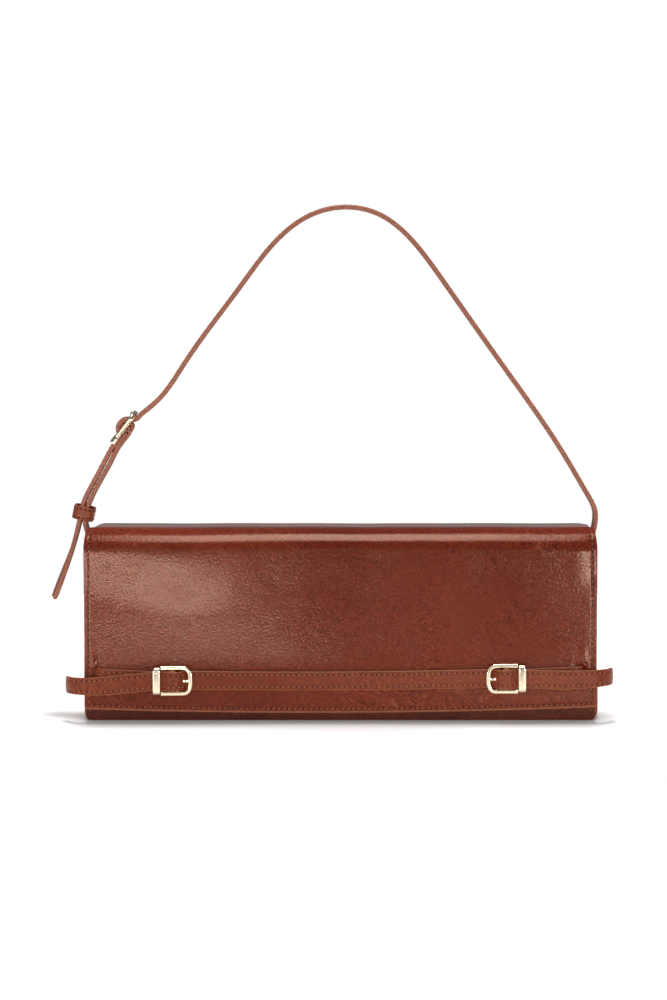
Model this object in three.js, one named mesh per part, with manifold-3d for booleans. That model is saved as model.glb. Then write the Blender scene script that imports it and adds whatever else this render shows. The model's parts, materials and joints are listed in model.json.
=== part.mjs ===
// Clutch bag with a fold-over flap, a buckled belt across its front and a buckled shoulder strap.
// Millimetres, +Z up, the front faces -Y, and the origin is under the middle of the base.
import * as THREE from "three";
import { mergeVertices } from "three/addons/utils/BufferGeometryUtils.js";
import Module from "manifold-3d";

const wasm = await Module();
wasm.setup();

// Body
const bodyWidth = 300.4;
const bodyDepth = 42;
const bagHeight = 116.4;
const frontDrop = 15.4;
const liningDrop = 2;
const cornerRadius = 7;
const shoulderRadius = 14;
const gussetFoot = 20;

// Sheet thicknesses and clearances
const leather = 1.4;
const board = 1.2;
const cloth = 0.6;
const gap = 0.3;
const slip = 0.35;

// Flap
const flapOverhang = 3;
const flapTopOverhang = 0.4;
const foldRadius = 14;
const foldLine = 2;
const flapShoulder = 3;
const hemMiddle = 5.2;
const hemEnds = 8;
const hemCorner = 4;
const liningInset = 1;

// Hidden snaps
const snapRadius = 7;
const snapThick = 1.05;
const snapSpacing = 140;
const snapHeight = 45;

// Belt across the front
const beltWidth = 12;
const beltThick = 2;
const beltHeight = 25.3;
const beltTilt = THREE.MathUtils.degToRad(0.49);
const buckleInset = 53.2;
const tabLayer = 1.2;
const tabBend = 5;
const slitInset = 7.2;
const slitDepth = 1.1;
const slitClear = 0.6;
const tailInset = 2.2;
const tailRadius = 13;
const tailEnd = 6;

// Buckles
const frameThick = 2.2;
const armWidth = 2.5;
const curveStart = 5.5;
const curveReach = 12;
const curveBar = 2.6;
const armEnd = 7;
const keeperBar = 4.4;
const keeperThick = 1.5;
const pinRadius = 0.8;
const eyeWall = 0.9;
const prongWidth = 2;
const prongThick = 1.15;
const prongRing = 0.7;
const humpClear = 0.4;
const humpTop = 0.8;
const slotReach = 8;

// Shoulder strap
const strapWidth = 12;
const strapThick = 2.6;
const rivetDrop = 7.4;
const strapFoot = 7;
const footBulge = 2.6;
const footBulgeRise = 14;
const footStraight = 6;
const crownRise = 214;
const strapBuckleInset = 20.7;
const strapBuckleRise = 80.8;
const strapBuckleLean = new THREE.Vector2(0.606, 0.796).normalize();
const strapApproach = 26.7;
const strapSag = 3.2;
const buckleStrapSag = 1.3;

// Sliding leather loop on the strap
const loopOutset = 5;
const loopRise = 28;
const loopLean = new THREE.Vector2(0.33, 0.944).normalize();
const loopHeight = 8.4;
const loopTravel = 6;
const loopWall = 1.4;
const loopSlack = 1.7;
const strandGap = 1.4;
const loopSide = 0.5;
const loopRound = 1;

// Rivets that hold the strap to the gussets
const shankRadius = 1.4;
const headRadius = 3.2;
const headThick = 1.2;
const washerThick = 1;

// Curve steps
const arcSteps = 8;
const discSteps = 28;
const beltStep = 1.6;
const archStep = 6;

// Places worked out from the sizes above
const bodyHalf = bodyWidth / 2;
const flapHalf = bodyHalf + flapOverhang;
const flapTopHalf = bodyHalf + flapTopOverhang;
const frontHeight = bagHeight - frontDrop;
const pivotHeight = frontHeight - rivetDrop;
const backFace = bodyDepth / 2;
const panelInner = backFace - leather;
const gussetHalf = panelInner - gap;
const boardInner = gussetHalf - board;
const liningHalf = boardInner - gap;
const snapStack = 2 * (snapThick + gap) + gap;
const flapFront = -(backFace + snapStack + cloth + gap + leather);
const rollY = flapFront + foldRadius;
const rollZ = bagHeight - foldRadius;
const pinX = flapHalf - buckleInset;
const slitX = flapHalf - slitInset;
const tabLength = slitX - pinX;
const tailReach = flapHalf - tailInset;
const eyeRadius = pinRadius + gap + eyeWall;
const frameHalf = frameThick / 2;
const frameReach = curveReach - curveBar;
const keeperInner = armEnd + gap;
const keeperOuter = keeperInner + keeperBar;
const keeperStart = keeperInner - slip;
const keeperUnder = 2 * tabLayer + gap - frameHalf;
const pinY = flapFront - (frameHalf + slip + beltThick + gap);
const footX = bodyHalf + gap + strapThick / 2;
const strapY = liningHalf - cloth - gap - headRadius;
const strandHalf = (strapThick + strandGap) / 2;
const loopHalf = strandHalf + strapThick / 2 + loopSlack;

const leatherLook = { color: 0x7b3b2e, roughness: 0.35, metalness: 0 };
const looks = {
  leather: new THREE.MeshStandardMaterial(leatherLook),
  lining: new THREE.MeshStandardMaterial({ color: 0x8a6248, roughness: 0.9, metalness: 0 }),
  board: new THREE.MeshStandardMaterial({ color: 0x8c7b66, roughness: 0.95, metalness: 0 }),
  gold: new THREE.MeshStandardMaterial({ color: 0xe3c88f, roughness: 0.2, metalness: 1 }),
  steel: new THREE.MeshStandardMaterial({ color: 0xb8b4a8, roughness: 0.35, metalness: 1 }),
};

const bag = new THREE.Group();

// A closed geometry as a solid that can be joined and cut.
function solidOf(geometry) {
  const bare = new THREE.BufferGeometry();
  const source = geometry.index ? geometry.toNonIndexed() : geometry;
  bare.setAttribute("position", source.getAttribute("position"));
  const merged = mergeVertices(bare, 1e-4);
  const vertProperties = merged.getAttribute("position").array;
  const triVerts = new Uint32Array(merged.index.array);
  return new wasm.Manifold(new wasm.Mesh({ numProp: 3, vertProperties, triVerts }));
}

function geometryOf(solid) {
  const mesh = solid.getMesh();
  const geometry = new THREE.BufferGeometry();
  geometry.setAttribute("position", new THREE.BufferAttribute(mesh.vertProperties, mesh.numProp));
  geometry.setIndex(new THREE.BufferAttribute(mesh.triVerts, 1));
  geometry.computeVertexNormals();
  return geometry;
}

function cut(geometry, ...tools) {
  const left = tools.reduce((solid, tool) => solid.subtract(solidOf(tool)), solidOf(geometry));
  return geometryOf(left);
}

function join(geometry, other) {
  return geometryOf(solidOf(geometry).add(solidOf(other)));
}

function common(geometry, other) {
  return geometryOf(solidOf(geometry).intersect(solidOf(other)));
}

function piece(name, geometry, look, parent = bag) {
  const mesh = new THREE.Mesh(geometry, look);
  mesh.name = name;
  parent.add(mesh);
  return mesh;
}

function extrude(shape, depth) {
  return new THREE.ExtrudeGeometry(shape, { depth, bevelEnabled: false, curveSegments: arcSteps });
}

// A section drawn in (y, z), run along X and centred on x = 0.
function alongX(section, length) {
  const turn = new THREE.Matrix4().makeBasis(
    new THREE.Vector3(0, 1, 0),
    new THREE.Vector3(0, 0, 1),
    new THREE.Vector3(1, 0, 0),
  );
  return extrude(section, length).applyMatrix4(turn).translate(-length / 2, 0, 0);
}

// An outline drawn in (x, z), run from y = low to y = high.
function alongY(outline, low, high) {
  const turn = new THREE.Matrix4().makeBasis(
    new THREE.Vector3(1, 0, 0),
    new THREE.Vector3(0, 0, 1),
    new THREE.Vector3(0, -1, 0),
  );
  return extrude(outline, high - low).applyMatrix4(turn).translate(0, high, 0);
}

function block(low, high) {
  const size = new THREE.Vector3().subVectors(high, low);
  const middle = new THREE.Vector3().addVectors(low, high).multiplyScalar(0.5);
  return new THREE.BoxGeometry(size.x, size.y, size.z).translate(middle.x, middle.y, middle.z);
}

// A round bar or disc along X, Y or Z between two places on that axis.
function rod(axis, radius, low, high, centre) {
  const bar = new THREE.CylinderGeometry(radius, radius, high - low, discSteps);
  if (axis === "x") bar.rotateZ(-Math.PI / 2);
  if (axis === "z") bar.rotateX(Math.PI / 2);
  const middle = (low + high) / 2;
  const place = { x: centre.x, y: centre.y, z: centre.z, [axis]: middle };
  return bar.translate(place.x, place.y, place.z);
}

// A strip of even thickness along a line of points, as a closed outline.
function strip(points, thick) {
  const near = [];
  const far = [];
  points.forEach((point, i) => {
    const before = points[Math.max(i - 1, 0)];
    const after = points[Math.min(i + 1, points.length - 1)];
    const along = new THREE.Vector2().subVectors(after, before).normalize();
    const across = new THREE.Vector2(-along.y, along.x).multiplyScalar(thick / 2);
    near.push(new THREE.Vector2().addVectors(point, across));
    far.push(new THREE.Vector2().subVectors(point, across));
  });
  return new THREE.Shape([...near, ...far.reverse()]);
}

// A smooth line through hand-chosen points, at even steps.
function smoothLine(points, step) {
  const curve = new THREE.CatmullRomCurve3(points.map((p) => new THREE.Vector3(p.x, p.y, 0)));
  const count = Math.ceil(curve.getLength() / step);
  return curve.getSpacedPoints(count).map((p) => new THREE.Vector2(p.x, p.y));
}

// A panel's outline with two round lower corners.
function panelOutline(half, low, high, radius) {
  const outline = new THREE.Shape();
  outline.moveTo(-half, high);
  outline.lineTo(-half, low + radius);
  outline.absarc(-half + radius, low + radius, radius, Math.PI, 1.5 * Math.PI, false);
  outline.lineTo(half - radius, low);
  outline.absarc(half - radius, low + radius, radius, -Math.PI / 2, 0, false);
  outline.lineTo(half, high);
  return outline;
}

function bodyPanels() {
  const face = panelOutline(bodyHalf, 0, frontHeight, cornerRadius);
  piece("front_panel", alongY(face, -backFace, -panelInner), looks.leather);

  const centreY = backFace - shoulderRadius;
  const centreZ = bagHeight - shoulderRadius;
  const section = new THREE.Shape();
  section.moveTo(backFace, 0);
  section.lineTo(backFace, centreZ);
  section.absarc(centreY, centreZ, shoulderRadius, 0, Math.PI / 2, false);
  section.lineTo(foldLine + gap / 2, bagHeight);
  section.lineTo(foldLine + gap / 2, bagHeight - leather);
  section.absarc(centreY, centreZ, shoulderRadius - leather, Math.PI / 2, 0, true);
  section.lineTo(panelInner, 0);
  const backOutline = panelOutline(bodyHalf, 0, bagHeight + leather, cornerRadius);
  const backSlab = alongY(backOutline, -backFace, backFace + leather);
  piece("back_panel", common(alongX(section, bodyWidth + leather), backSlab), looks.leather);

  const baseHalf = bodyHalf - cornerRadius - gussetFoot - gap;
  const baseLow = new THREE.Vector3(-baseHalf, -gussetHalf, 0);
  const baseHigh = new THREE.Vector3(baseHalf, gussetHalf, leather);
  piece("base_panel", block(baseLow, baseHigh), looks.leather);
}

function rivetPlace(side) {
  return new THREE.Vector3(side * bodyHalf, strapY, pivotHeight);
}

function rivetHole(side) {
  const reach = headRadius + washerThick + strapThick;
  const middle = side * bodyHalf;
  return rod("x", shankRadius + gap, middle - reach, middle + reach, rivetPlace(side));
}

// A side gusset: an upright wall with a round lower corner and a foot that meets the base panel.
function gusset(name, side) {
  const turn = bodyHalf - cornerRadius;
  const section = new THREE.Shape();
  section.moveTo(bodyHalf, frontHeight);
  section.lineTo(bodyHalf - leather, frontHeight);
  section.lineTo(bodyHalf - leather, cornerRadius);
  section.absarc(turn, cornerRadius, cornerRadius - leather, 0, -Math.PI / 2, true);
  section.lineTo(turn - gussetFoot, leather);
  section.lineTo(turn - gussetFoot, 0);
  section.lineTo(turn, 0);
  section.absarc(turn, cornerRadius, cornerRadius, -Math.PI / 2, 0, false);
  const wall = alongY(section, -gussetHalf, gussetHalf);
  if (side < 0) wall.rotateZ(Math.PI);
  piece(name, cut(wall, rivetHole(side)), looks.leather);
}

// Stiffening boards between the leather and the lining, and the lining itself as an open box.
function insides() {
  const boardLow = leather + gap;
  const boardHalf = bodyHalf - leather - gap;
  const boardRadius = cornerRadius - leather - gap;
  const boardTop = frontHeight - liningDrop;
  const sheet = panelOutline(boardHalf, boardLow, boardTop, boardRadius);
  piece("front_board", alongY(sheet, -gussetHalf, -boardInner), looks.board);
  piece("back_board", alongY(sheet, boardInner, gussetHalf), looks.board);

  const baseHalf = bodyHalf - cornerRadius;
  const low = new THREE.Vector3(-baseHalf, -liningHalf, boardLow);
  const high = new THREE.Vector3(baseHalf, liningHalf, boardLow + board);
  piece("base_board", block(low, high), looks.board);

  const liningLow = boardLow + board + gap;
  const liningRadius = cornerRadius - liningLow;
  const outer = panelOutline(boardHalf, liningLow, boardTop, liningRadius);
  const inner = panelOutline(boardHalf - cloth, liningLow + cloth, boardTop + cloth, liningRadius - cloth);
  const shell = alongY(outer, -liningHalf, liningHalf);
  const hollow = alongY(inner, cloth - liningHalf, liningHalf - cloth);
  piece("lining", cut(shell, hollow, rivetHole(-1), rivetHole(1)), looks.lining);
}

// One layer of the flap from the fold line over the top and down the front, under the outer face by depth.
function flapLayer(depth, thick, inset) {
  const radius = foldRadius - depth;
  const top = bagHeight - depth;
  const section = new THREE.Shape();
  section.moveTo(foldLine - gap / 2, top);
  section.lineTo(rollY, top);
  section.absarc(rollY, rollZ, radius, Math.PI / 2, Math.PI, false);
  section.lineTo(rollY - radius, 0);
  section.lineTo(rollY - radius + thick, 0);
  section.absarc(rollY, rollZ, radius - thick, Math.PI, Math.PI / 2, true);
  section.lineTo(foldLine - gap / 2, top - thick);

  const half = flapHalf - inset;
  const topHalf = flapTopHalf - inset;
  const ends = hemEnds + inset;
  const dip = 2 * (hemMiddle + inset) - ends;
  const outline = new THREE.Shape();
  outline.moveTo(-topHalf, bagHeight + leather);
  outline.lineTo(-topHalf, bagHeight - flapShoulder);
  outline.lineTo(-half, rollZ);
  outline.lineTo(-half, ends + hemCorner);
  outline.absarc(-half + hemCorner, ends + hemCorner, hemCorner, Math.PI, 1.5 * Math.PI, false);
  outline.quadraticCurveTo(0, dip, half - hemCorner, ends);
  outline.absarc(half - hemCorner, ends + hemCorner, hemCorner, -Math.PI / 2, 0, false);
  outline.lineTo(half, rollZ);
  outline.lineTo(topHalf, bagHeight - flapShoulder);
  outline.lineTo(topHalf, bagHeight + leather);
  const slab = alongY(outline, flapFront - leather, backFace);
  return common(alongX(section, 2 * flapHalf + leather), slab);
}

// The height of the belt's centre line at one side of the middle, tilted with the belt.
function beltLevel(x) {
  return beltHeight + x * Math.tan(beltTilt);
}

function flapPieces() {
  const slits = [-1, 1].map((side) => {
    const x = side * (slitX - tabLayer / 2);
    const half = tabLayer / 2 + gap;
    const tall = beltWidth / 2 + slitClear;
    const low = new THREE.Vector3(x - half, flapFront - leather, beltLevel(x) - tall);
    const high = new THREE.Vector3(x + half, flapFront + leather + gap / 2, beltLevel(x) + tall);
    return block(low, high);
  });
  piece("flap_leather", cut(flapLayer(0, leather, 0), ...slits), looks.leather);
  piece("flap_lining", flapLayer(leather + gap, cloth, liningInset), looks.lining);
}

function snaps() {
  const frontSnap = -backFace - gap;
  const flapSnap = frontSnap - snapThick - gap;
  for (const [word, side] of [["left", -1], ["right", 1]]) {
    const centre = new THREE.Vector3((side * snapSpacing) / 2, 0, snapHeight);
    const socket = rod("y", snapRadius, frontSnap - snapThick, frontSnap, centre);
    const stud = rod("y", snapRadius, flapSnap - snapThick, flapSnap, centre);
    piece(`${word}_front_snap`, socket, looks.steel);
    piece(`${word}_flap_snap`, stud, looks.steel);
  }
}

// A smooth step from 0 to 1 as t goes from 0 to 1.
function ease(t) {
  const held = THREE.MathUtils.clamp(t, 0, 1);
  return held * held * (3 - 2 * held);
}

// The levels of a threaded strap's centre line in a buckle, measured from the pin.
function threadLevels(thick) {
  return {
    bar: -(frameHalf + slip + thick / 2),
    hump: eyeRadius + gap + thick / 2,
    keeper: keeperUnder - slip - thick / 2,
  };
}

// The inner and outer faces of a buckle's arms for a strap of this width.
function armFaces(width) {
  const inner = width / 2 + gap + slip / 2;
  return { inner, outer: inner + armWidth };
}

// Where a strap's edges leave the curved bar, which is where it starts to rise over the pin.
function humpFoot(width) {
  const { inner } = armFaces(width);
  const share = Math.sqrt(1 - (width / 2 / inner) ** 2);
  return curveStart + (frameReach - curveStart) * share + humpClear;
}

// A threaded strap's centre line: under the curved bar, over the pin and under the keeper bar.
function threadLine(width, thick) {
  const level = threadLevels(thick);
  const foot = humpFoot(width);
  const line = [];
  for (let x = foot; x > -keeperStart; x -= beltStep) {
    const rise = ease((foot - x) / (foot - humpTop));
    const fall = ease((-humpTop - x) / (keeperStart - humpTop));
    const height = level.bar + (level.hump - level.bar) * rise + (level.keeper - level.hump) * fall;
    line.push({ x, height });
  }
  return line;
}

// The middle line of the top face of the tab under a threaded strap.
function tabLevel(thick, tabThick) {
  return threadLevels(thick).keeper - thick / 2 - gap - tabThick / 2;
}

// Sets a group's axes: x from the keeper bar to the curved bar, z out of the buckle's face.
function buckleGroup(pin, along, out) {
  const group = new THREE.Group();
  const across = new THREE.Vector3().crossVectors(out, along);
  group.setRotationFromMatrix(new THREE.Matrix4().makeBasis(along, across, out));
  group.position.copy(pin);
  bag.add(group);
  return group;
}

function buckleFrame({ inner, outer }) {
  const outline = new THREE.Shape();
  outline.moveTo(-armEnd, -outer);
  outline.lineTo(curveStart, -outer);
  outline.absellipse(curveStart, 0, curveReach - curveStart, outer, -Math.PI / 2, Math.PI / 2, false);
  outline.lineTo(-armEnd, outer);
  outline.lineTo(-armEnd, inner);
  outline.lineTo(curveStart, inner);
  outline.absellipse(curveStart, 0, frameReach - curveStart, inner, Math.PI / 2, -Math.PI / 2, true);
  outline.lineTo(-armEnd, -inner);
  return extrude(outline, frameThick).translate(0, 0, -frameHalf);
}

// The keeper bar bridges the strap on two legs that meet the ends of the arms.
function buckleKeeper({ inner, outer }) {
  const top = keeperUnder + keeperThick;
  const bevel = keeperThick / 2;
  const section = new THREE.Shape();
  section.moveTo(-outer, -frameHalf);
  section.lineTo(-inner, -frameHalf);
  section.lineTo(-inner, keeperUnder);
  section.lineTo(inner, keeperUnder);
  section.lineTo(inner, -frameHalf);
  section.lineTo(outer, -frameHalf);
  section.lineTo(outer, top - bevel);
  section.lineTo(outer - bevel, top);
  section.lineTo(bevel - outer, top);
  section.lineTo(-outer, top - bevel);
  return alongX(section, keeperBar).translate(-(keeperInner + keeperOuter) / 2, 0, 0);
}

function bucklePin({ inner }) {
  const half = inner - gap / 2;
  return rod("y", pinRadius, -half, half, new THREE.Vector3());
}

// The prong: a ring on the pin and an arm that comes up through the strap and lies on the curved bar.
function buckleProng() {
  const ringRadius = pinRadius + gap + prongRing;
  const rest = frameHalf + gap;
  const outline = new THREE.Shape();
  outline.moveTo(curveReach, rest);
  outline.lineTo(curveReach, rest + prongThick);
  outline.lineTo(0, ringRadius);
  outline.absarc(0, 0, ringRadius, Math.PI / 2, 2 * Math.PI, false);
  outline.lineTo(frameReach, rest);
  const hole = new THREE.Path();
  hole.absarc(0, 0, pinRadius + gap, 0, 2 * Math.PI, true);
  outline.holes.push(hole);
  return alongY(outline, -prongWidth / 2, prongWidth / 2);
}

// Where the prong swings through a threaded strap.
function prongSlot() {
  const half = prongWidth / 2 + gap;
  const low = new THREE.Vector3(humpTop - gap, -half, -slotReach);
  const high = new THREE.Vector3(frameReach - eyeRadius - gap, half, slotReach);
  return block(low, high);
}

// A tab's eye round the pin with a notch for the prong, joined to the tab's own strip.
function eyedTab(points, thick, width) {
  const half = width / 2;
  const ring = pinRadius + gap + prongRing + gap;
  const notchHalf = prongWidth / 2 + gap;
  const band = alongY(strip(points, thick), -half, half);
  const eye = rod("y", eyeRadius, -half, half, new THREE.Vector3());
  const hole = rod("y", pinRadius + gap, -width, width, new THREE.Vector3());
  const notchLow = new THREE.Vector3(-ring, -notchHalf, -eyeRadius - thick);
  const notchHigh = new THREE.Vector3(curveReach, notchHalf, eyeRadius + thick);
  return cut(join(eye, band), hole, block(notchLow, notchHigh));
}

function buckleHardware(word, group, width) {
  const faces = armFaces(width);
  piece(`${word}_buckle_frame`, buckleFrame(faces), looks.gold, group);
  piece(`${word}_buckle_keeper`, buckleKeeper(faces), looks.gold, group);
  piece(`${word}_buckle_pin`, bucklePin(faces), looks.gold, group);
  piece(`${word}_buckle_prong`, buckleProng(), looks.gold, group);
}

// The tab that carries a front buckle: from its eye out along the flap and down into the flap's slit.
function beltTab() {
  const thick = 2 * tabLayer;
  const level = tabLevel(beltThick, thick);
  const points = [
    new THREE.Vector2(-pinRadius, -pinRadius),
    new THREE.Vector2(-eyeRadius - tabLayer, (level - pinRadius) / 2),
    new THREE.Vector2(-eyeRadius - tabBend, level),
    new THREE.Vector2(-tabLength, level),
  ];
  const foot = level - thick / 2 - gap - slitDepth;
  const low = new THREE.Vector3(-tabLength, -beltWidth / 2, foot);
  const high = new THREE.Vector3(-tabLength + tabLayer, beltWidth / 2, level);
  return join(eyedTab(points, thick, beltWidth), block(low, high));
}

// One half of the belt's plan line, from the middle of the bag out to the tail that turns back.
function beltHalfLine(side) {
  const level = threadLevels(beltThick);
  const points = [];
  const place = (x, height) => points.push(new THREE.Vector2(side * x, pinY - height));
  place(0, level.bar);
  place(pinX / 2, level.bar);
  for (const { x, height } of threadLine(beltWidth, beltThick)) place(pinX - x, height);
  place(pinX + keeperOuter, level.keeper);
  place((pinX + keeperOuter + tailReach) / 2, level.keeper);
  for (let i = 0; i <= arcSteps; i += 1) {
    const turn = (i / arcSteps) * (Math.PI / 2);
    const drop = tailRadius * (1 - Math.cos(turn));
    place(tailReach + tailRadius * Math.sin(turn), level.keeper - drop);
  }
  place(tailReach + tailRadius, level.keeper - tailRadius - tailEnd);
  return points;
}

function belt(group) {
  const right = beltHalfLine(1);
  const left = beltHalfLine(-1).slice(1).reverse();
  const plan = strip([...left, ...right], beltThick);
  const half = beltWidth / 2;
  const band = extrude(plan, beltWidth).translate(0, 0, -half);
  const slots = [-1, 1].map((side) => {
    const along = new THREE.Vector3(-side, 0, 0);
    const out = new THREE.Vector3(0, -1, 0);
    const across = new THREE.Vector3().crossVectors(out, along);
    const turn = new THREE.Matrix4().makeBasis(along, across, out);
    return prongSlot().applyMatrix4(turn).translate(side * pinX, pinY, 0);
  });
  piece("belt", cut(band, ...slots), looks.leather, group);
}

function frontBelt() {
  const group = new THREE.Group();
  group.position.z = beltHeight;
  group.rotation.y = -beltTilt;
  bag.add(group);
  belt(group);
  for (const [word, side] of [["left", -1], ["right", 1]]) {
    const pin = new THREE.Vector3(side * pinX, pinY, 0);
    const buckle = buckleGroup(pin, new THREE.Vector3(-side, 0, 0), new THREE.Vector3(0, -1, 0));
    group.add(buckle);
    buckleHardware(word, buckle, beltWidth);
    piece(`${word}_belt_tab`, beltTab(), looks.leather, buckle);
  }
}

// Places on the strap, as a distance in from the strap's foot and a height above its pivot.
function strapPoint(side, inset, rise) {
  return new THREE.Vector2(side * (footX - inset), pivotHeight + rise);
}

// Places on the strap's arch, as shares of its half span and of its rise.
function archPoint(across, up) {
  return new THREE.Vector2(footX * across, pivotHeight + crownRise * up);
}

function strapBucklePin() {
  return strapPoint(-1, strapBuckleInset, strapBuckleRise);
}

function inStrapBuckle(x, height) {
  const out = new THREE.Vector2(-strapBuckleLean.y, strapBuckleLean.x);
  return strapBucklePin().addScaledVector(strapBuckleLean, x).addScaledVector(out, height);
}

// Places in the sliding loop: along the strands, and across them towards the bag.
function inLoop(along, across) {
  const towards = new THREE.Vector2(loopLean.y, -loopLean.x);
  const centre = strapPoint(-1, -loopOutset, loopRise);
  return centre.addScaledVector(loopLean, along).addScaledVector(towards, across);
}

function strapBand(points) {
  return alongY(strip(points, strapThick), -strapWidth / 2, strapWidth / 2).translate(0, strapY, 0);
}

// The long strap: up from the right rivet, over the crown, through the buckle and the loop, to a free tail.
function longStrap() {
  const level = threadLevels(strapThick);
  const arch = [
    strapPoint(1, 0, -strapFoot),
    strapPoint(1, 0, 0),
    strapPoint(1, 0, footStraight),
    strapPoint(1, -footBulge, footBulgeRise + footStraight),
    archPoint(1.02, 0.14),
    archPoint(0.992, 0.183),
    archPoint(0.897, 0.297),
    archPoint(0.648, 0.553),
    archPoint(0.393, 0.808),
    archPoint(0.267, 0.92),
    archPoint(0.153, 0.98),
    archPoint(0.018, 1),
    archPoint(-0.121, 0.977),
    archPoint(-0.235, 0.92),
    archPoint(-0.395, 0.78),
    archPoint(-0.628, 0.553),
    inStrapBuckle(strapApproach, level.bar - strapSag),
    inStrapBuckle(curveReach, level.bar),
  ];
  const threaded = threadLine(strapWidth, strapThick).map(({ x, height }) => inStrapBuckle(x, height));
  const tail = [
    inStrapBuckle(-keeperInner, level.keeper),
    inStrapBuckle(-keeperOuter, level.keeper),
    inLoop(loopHeight + loopTravel, -strandHalf),
    inLoop(0, -strandHalf),
    inLoop(-loopHeight, -strandHalf),
    strapPoint(-1, -12.4, 6),
    strapPoint(-1, -17.2, -7.7),
    strapPoint(-1, -22.8, -24),
  ];
  const line = [...smoothLine(arch, archStep), ...threaded, ...smoothLine(tail, archStep)];
  const across = new THREE.Vector3(0, 1, 0);
  const along = new THREE.Vector3(strapBuckleLean.x, 0, strapBuckleLean.y);
  const out = new THREE.Vector3().crossVectors(along, across);
  const turn = new THREE.Matrix4().makeBasis(along, across, out);
  const pin = strapBucklePin();
  const slot = prongSlot().applyMatrix4(turn).translate(pin.x, strapY, pin.y);
  piece("shoulder_strap", cut(strapBand(line), slot, rivetHole(1)), looks.leather);
}

// The short strap: from its eye in the buckle down through the loop to the left rivet.
function shortStrap(buckle) {
  const level = tabLevel(strapThick, strapThick) - buckleStrapSag;
  const route = [
    inStrapBuckle(-pinRadius, -eyeRadius),
    inStrapBuckle(-eyeRadius - strapThick, level),
    inStrapBuckle(-keeperOuter, level),
    inLoop(loopHeight + loopTravel, strandHalf),
    inLoop(0, strandHalf),
    inLoop(-loopHeight, strandHalf),
    strapPoint(-1, -footBulge, footBulgeRise),
    strapPoint(-1, 0, footStraight),
    strapPoint(-1, 0, 0),
    strapPoint(-1, 0, -strapFoot),
  ];
  buckle.updateMatrixWorld(true);
  const inside = buckle.matrixWorld.clone().invert();
  const local = smoothLine(route, archStep / 2).map((p) => {
    const moved = new THREE.Vector3(p.x, strapY, p.y).applyMatrix4(inside);
    return new THREE.Vector2(moved.x, moved.z);
  });
  const hole = rivetHole(-1).applyMatrix4(inside);
  piece("buckle_strap", cut(eyedTab(local, strapThick, strapWidth), hole), looks.leather, buckle);
}

// The leather loop that slides along both strands, as a rounded ring drawn square to them.
function strapLoop() {
  const wide = loopHalf + loopWall;
  const deep = strapWidth / 2 + loopSide + loopWall;
  const ring = roundedBox(wide, deep, loopRound + loopWall);
  ring.holes.push(roundedBox(loopHalf, deep - loopWall, loopRound));
  const group = new THREE.Group();
  const along = new THREE.Vector3(loopLean.x, 0, loopLean.y);
  const across = new THREE.Vector3(loopLean.y, 0, -loopLean.x);
  const depth = new THREE.Vector3(0, 1, 0);
  group.setRotationFromMatrix(new THREE.Matrix4().makeBasis(across, depth, along));
  const centre = inLoop(0, 0);
  group.position.set(centre.x, strapY, centre.y);
  bag.add(group);
  piece("strap_loop", extrude(ring, loopHeight).translate(0, 0, -loopHeight / 2), looks.leather, group);
}

function roundedBox(half, tall, radius) {
  const outline = new THREE.Shape();
  outline.moveTo(half, radius - tall);
  outline.lineTo(half, tall - radius);
  outline.absarc(half - radius, tall - radius, radius, 0, Math.PI / 2, false);
  outline.lineTo(radius - half, tall);
  outline.absarc(radius - half, tall - radius, radius, Math.PI / 2, Math.PI, false);
  outline.lineTo(-half, radius - tall);
  outline.absarc(radius - half, radius - tall, radius, Math.PI, 1.5 * Math.PI, false);
  outline.lineTo(half - radius, -tall);
  outline.absarc(half - radius, radius - tall, radius, -Math.PI / 2, 0, false);
  return outline;
}

// A rivet through the strap's end, the gusset and the lining, with a washer inside the bag.
function rivets() {
  const headStart = footX + strapThick / 2 + gap;
  const washerStart = bodyHalf - leather - gap - cloth - gap;
  const washerEnd = washerStart - washerThick;
  for (const [word, side] of [["left", -1], ["right", 1]]) {
    const profile = [
      new THREE.Vector2(0, washerEnd),
      new THREE.Vector2(shankRadius, washerEnd),
      new THREE.Vector2(shankRadius, headStart),
      new THREE.Vector2(headRadius, headStart),
      new THREE.Vector2(headRadius, headStart + headThick / 2),
      new THREE.Vector2(headRadius - headThick / 2, headStart + headThick),
      new THREE.Vector2(0, headStart + headThick),
    ];
    const rivet = new THREE.LatheGeometry(profile, discSteps).rotateZ((-side * Math.PI) / 2);
    piece(`${word}_strap_rivet`, rivet.translate(0, strapY, pivotHeight), looks.gold);
    const ends = [side * washerEnd, side * washerStart].sort((a, b) => a - b);
    const disc = rod("x", headRadius, ends[0], ends[1], rivetPlace(side));
    const bore = rod("x", shankRadius + gap, ends[0] - gap, ends[1] + gap, rivetPlace(side));
    piece(`${word}_rivet_washer`, cut(disc, bore), looks.steel);
  }
}

function shoulderStrap() {
  longStrap();
  const pin = strapBucklePin();
  const along = new THREE.Vector3(strapBuckleLean.x, 0, strapBuckleLean.y);
  const out = new THREE.Vector3(-strapBuckleLean.y, 0, strapBuckleLean.x);
  const buckle = buckleGroup(new THREE.Vector3(pin.x, strapY, pin.y), along, out);
  buckleHardware("strap", buckle, strapWidth);
  shortStrap(buckle);
  strapLoop();
  rivets();
}

bodyPanels();
gusset("left_gusset", -1);
gusset("right_gusset", 1);
insides();
flapPieces();
snaps();
frontBelt();
shoulderStrap();

export default bag;
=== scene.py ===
import json
import math

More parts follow.
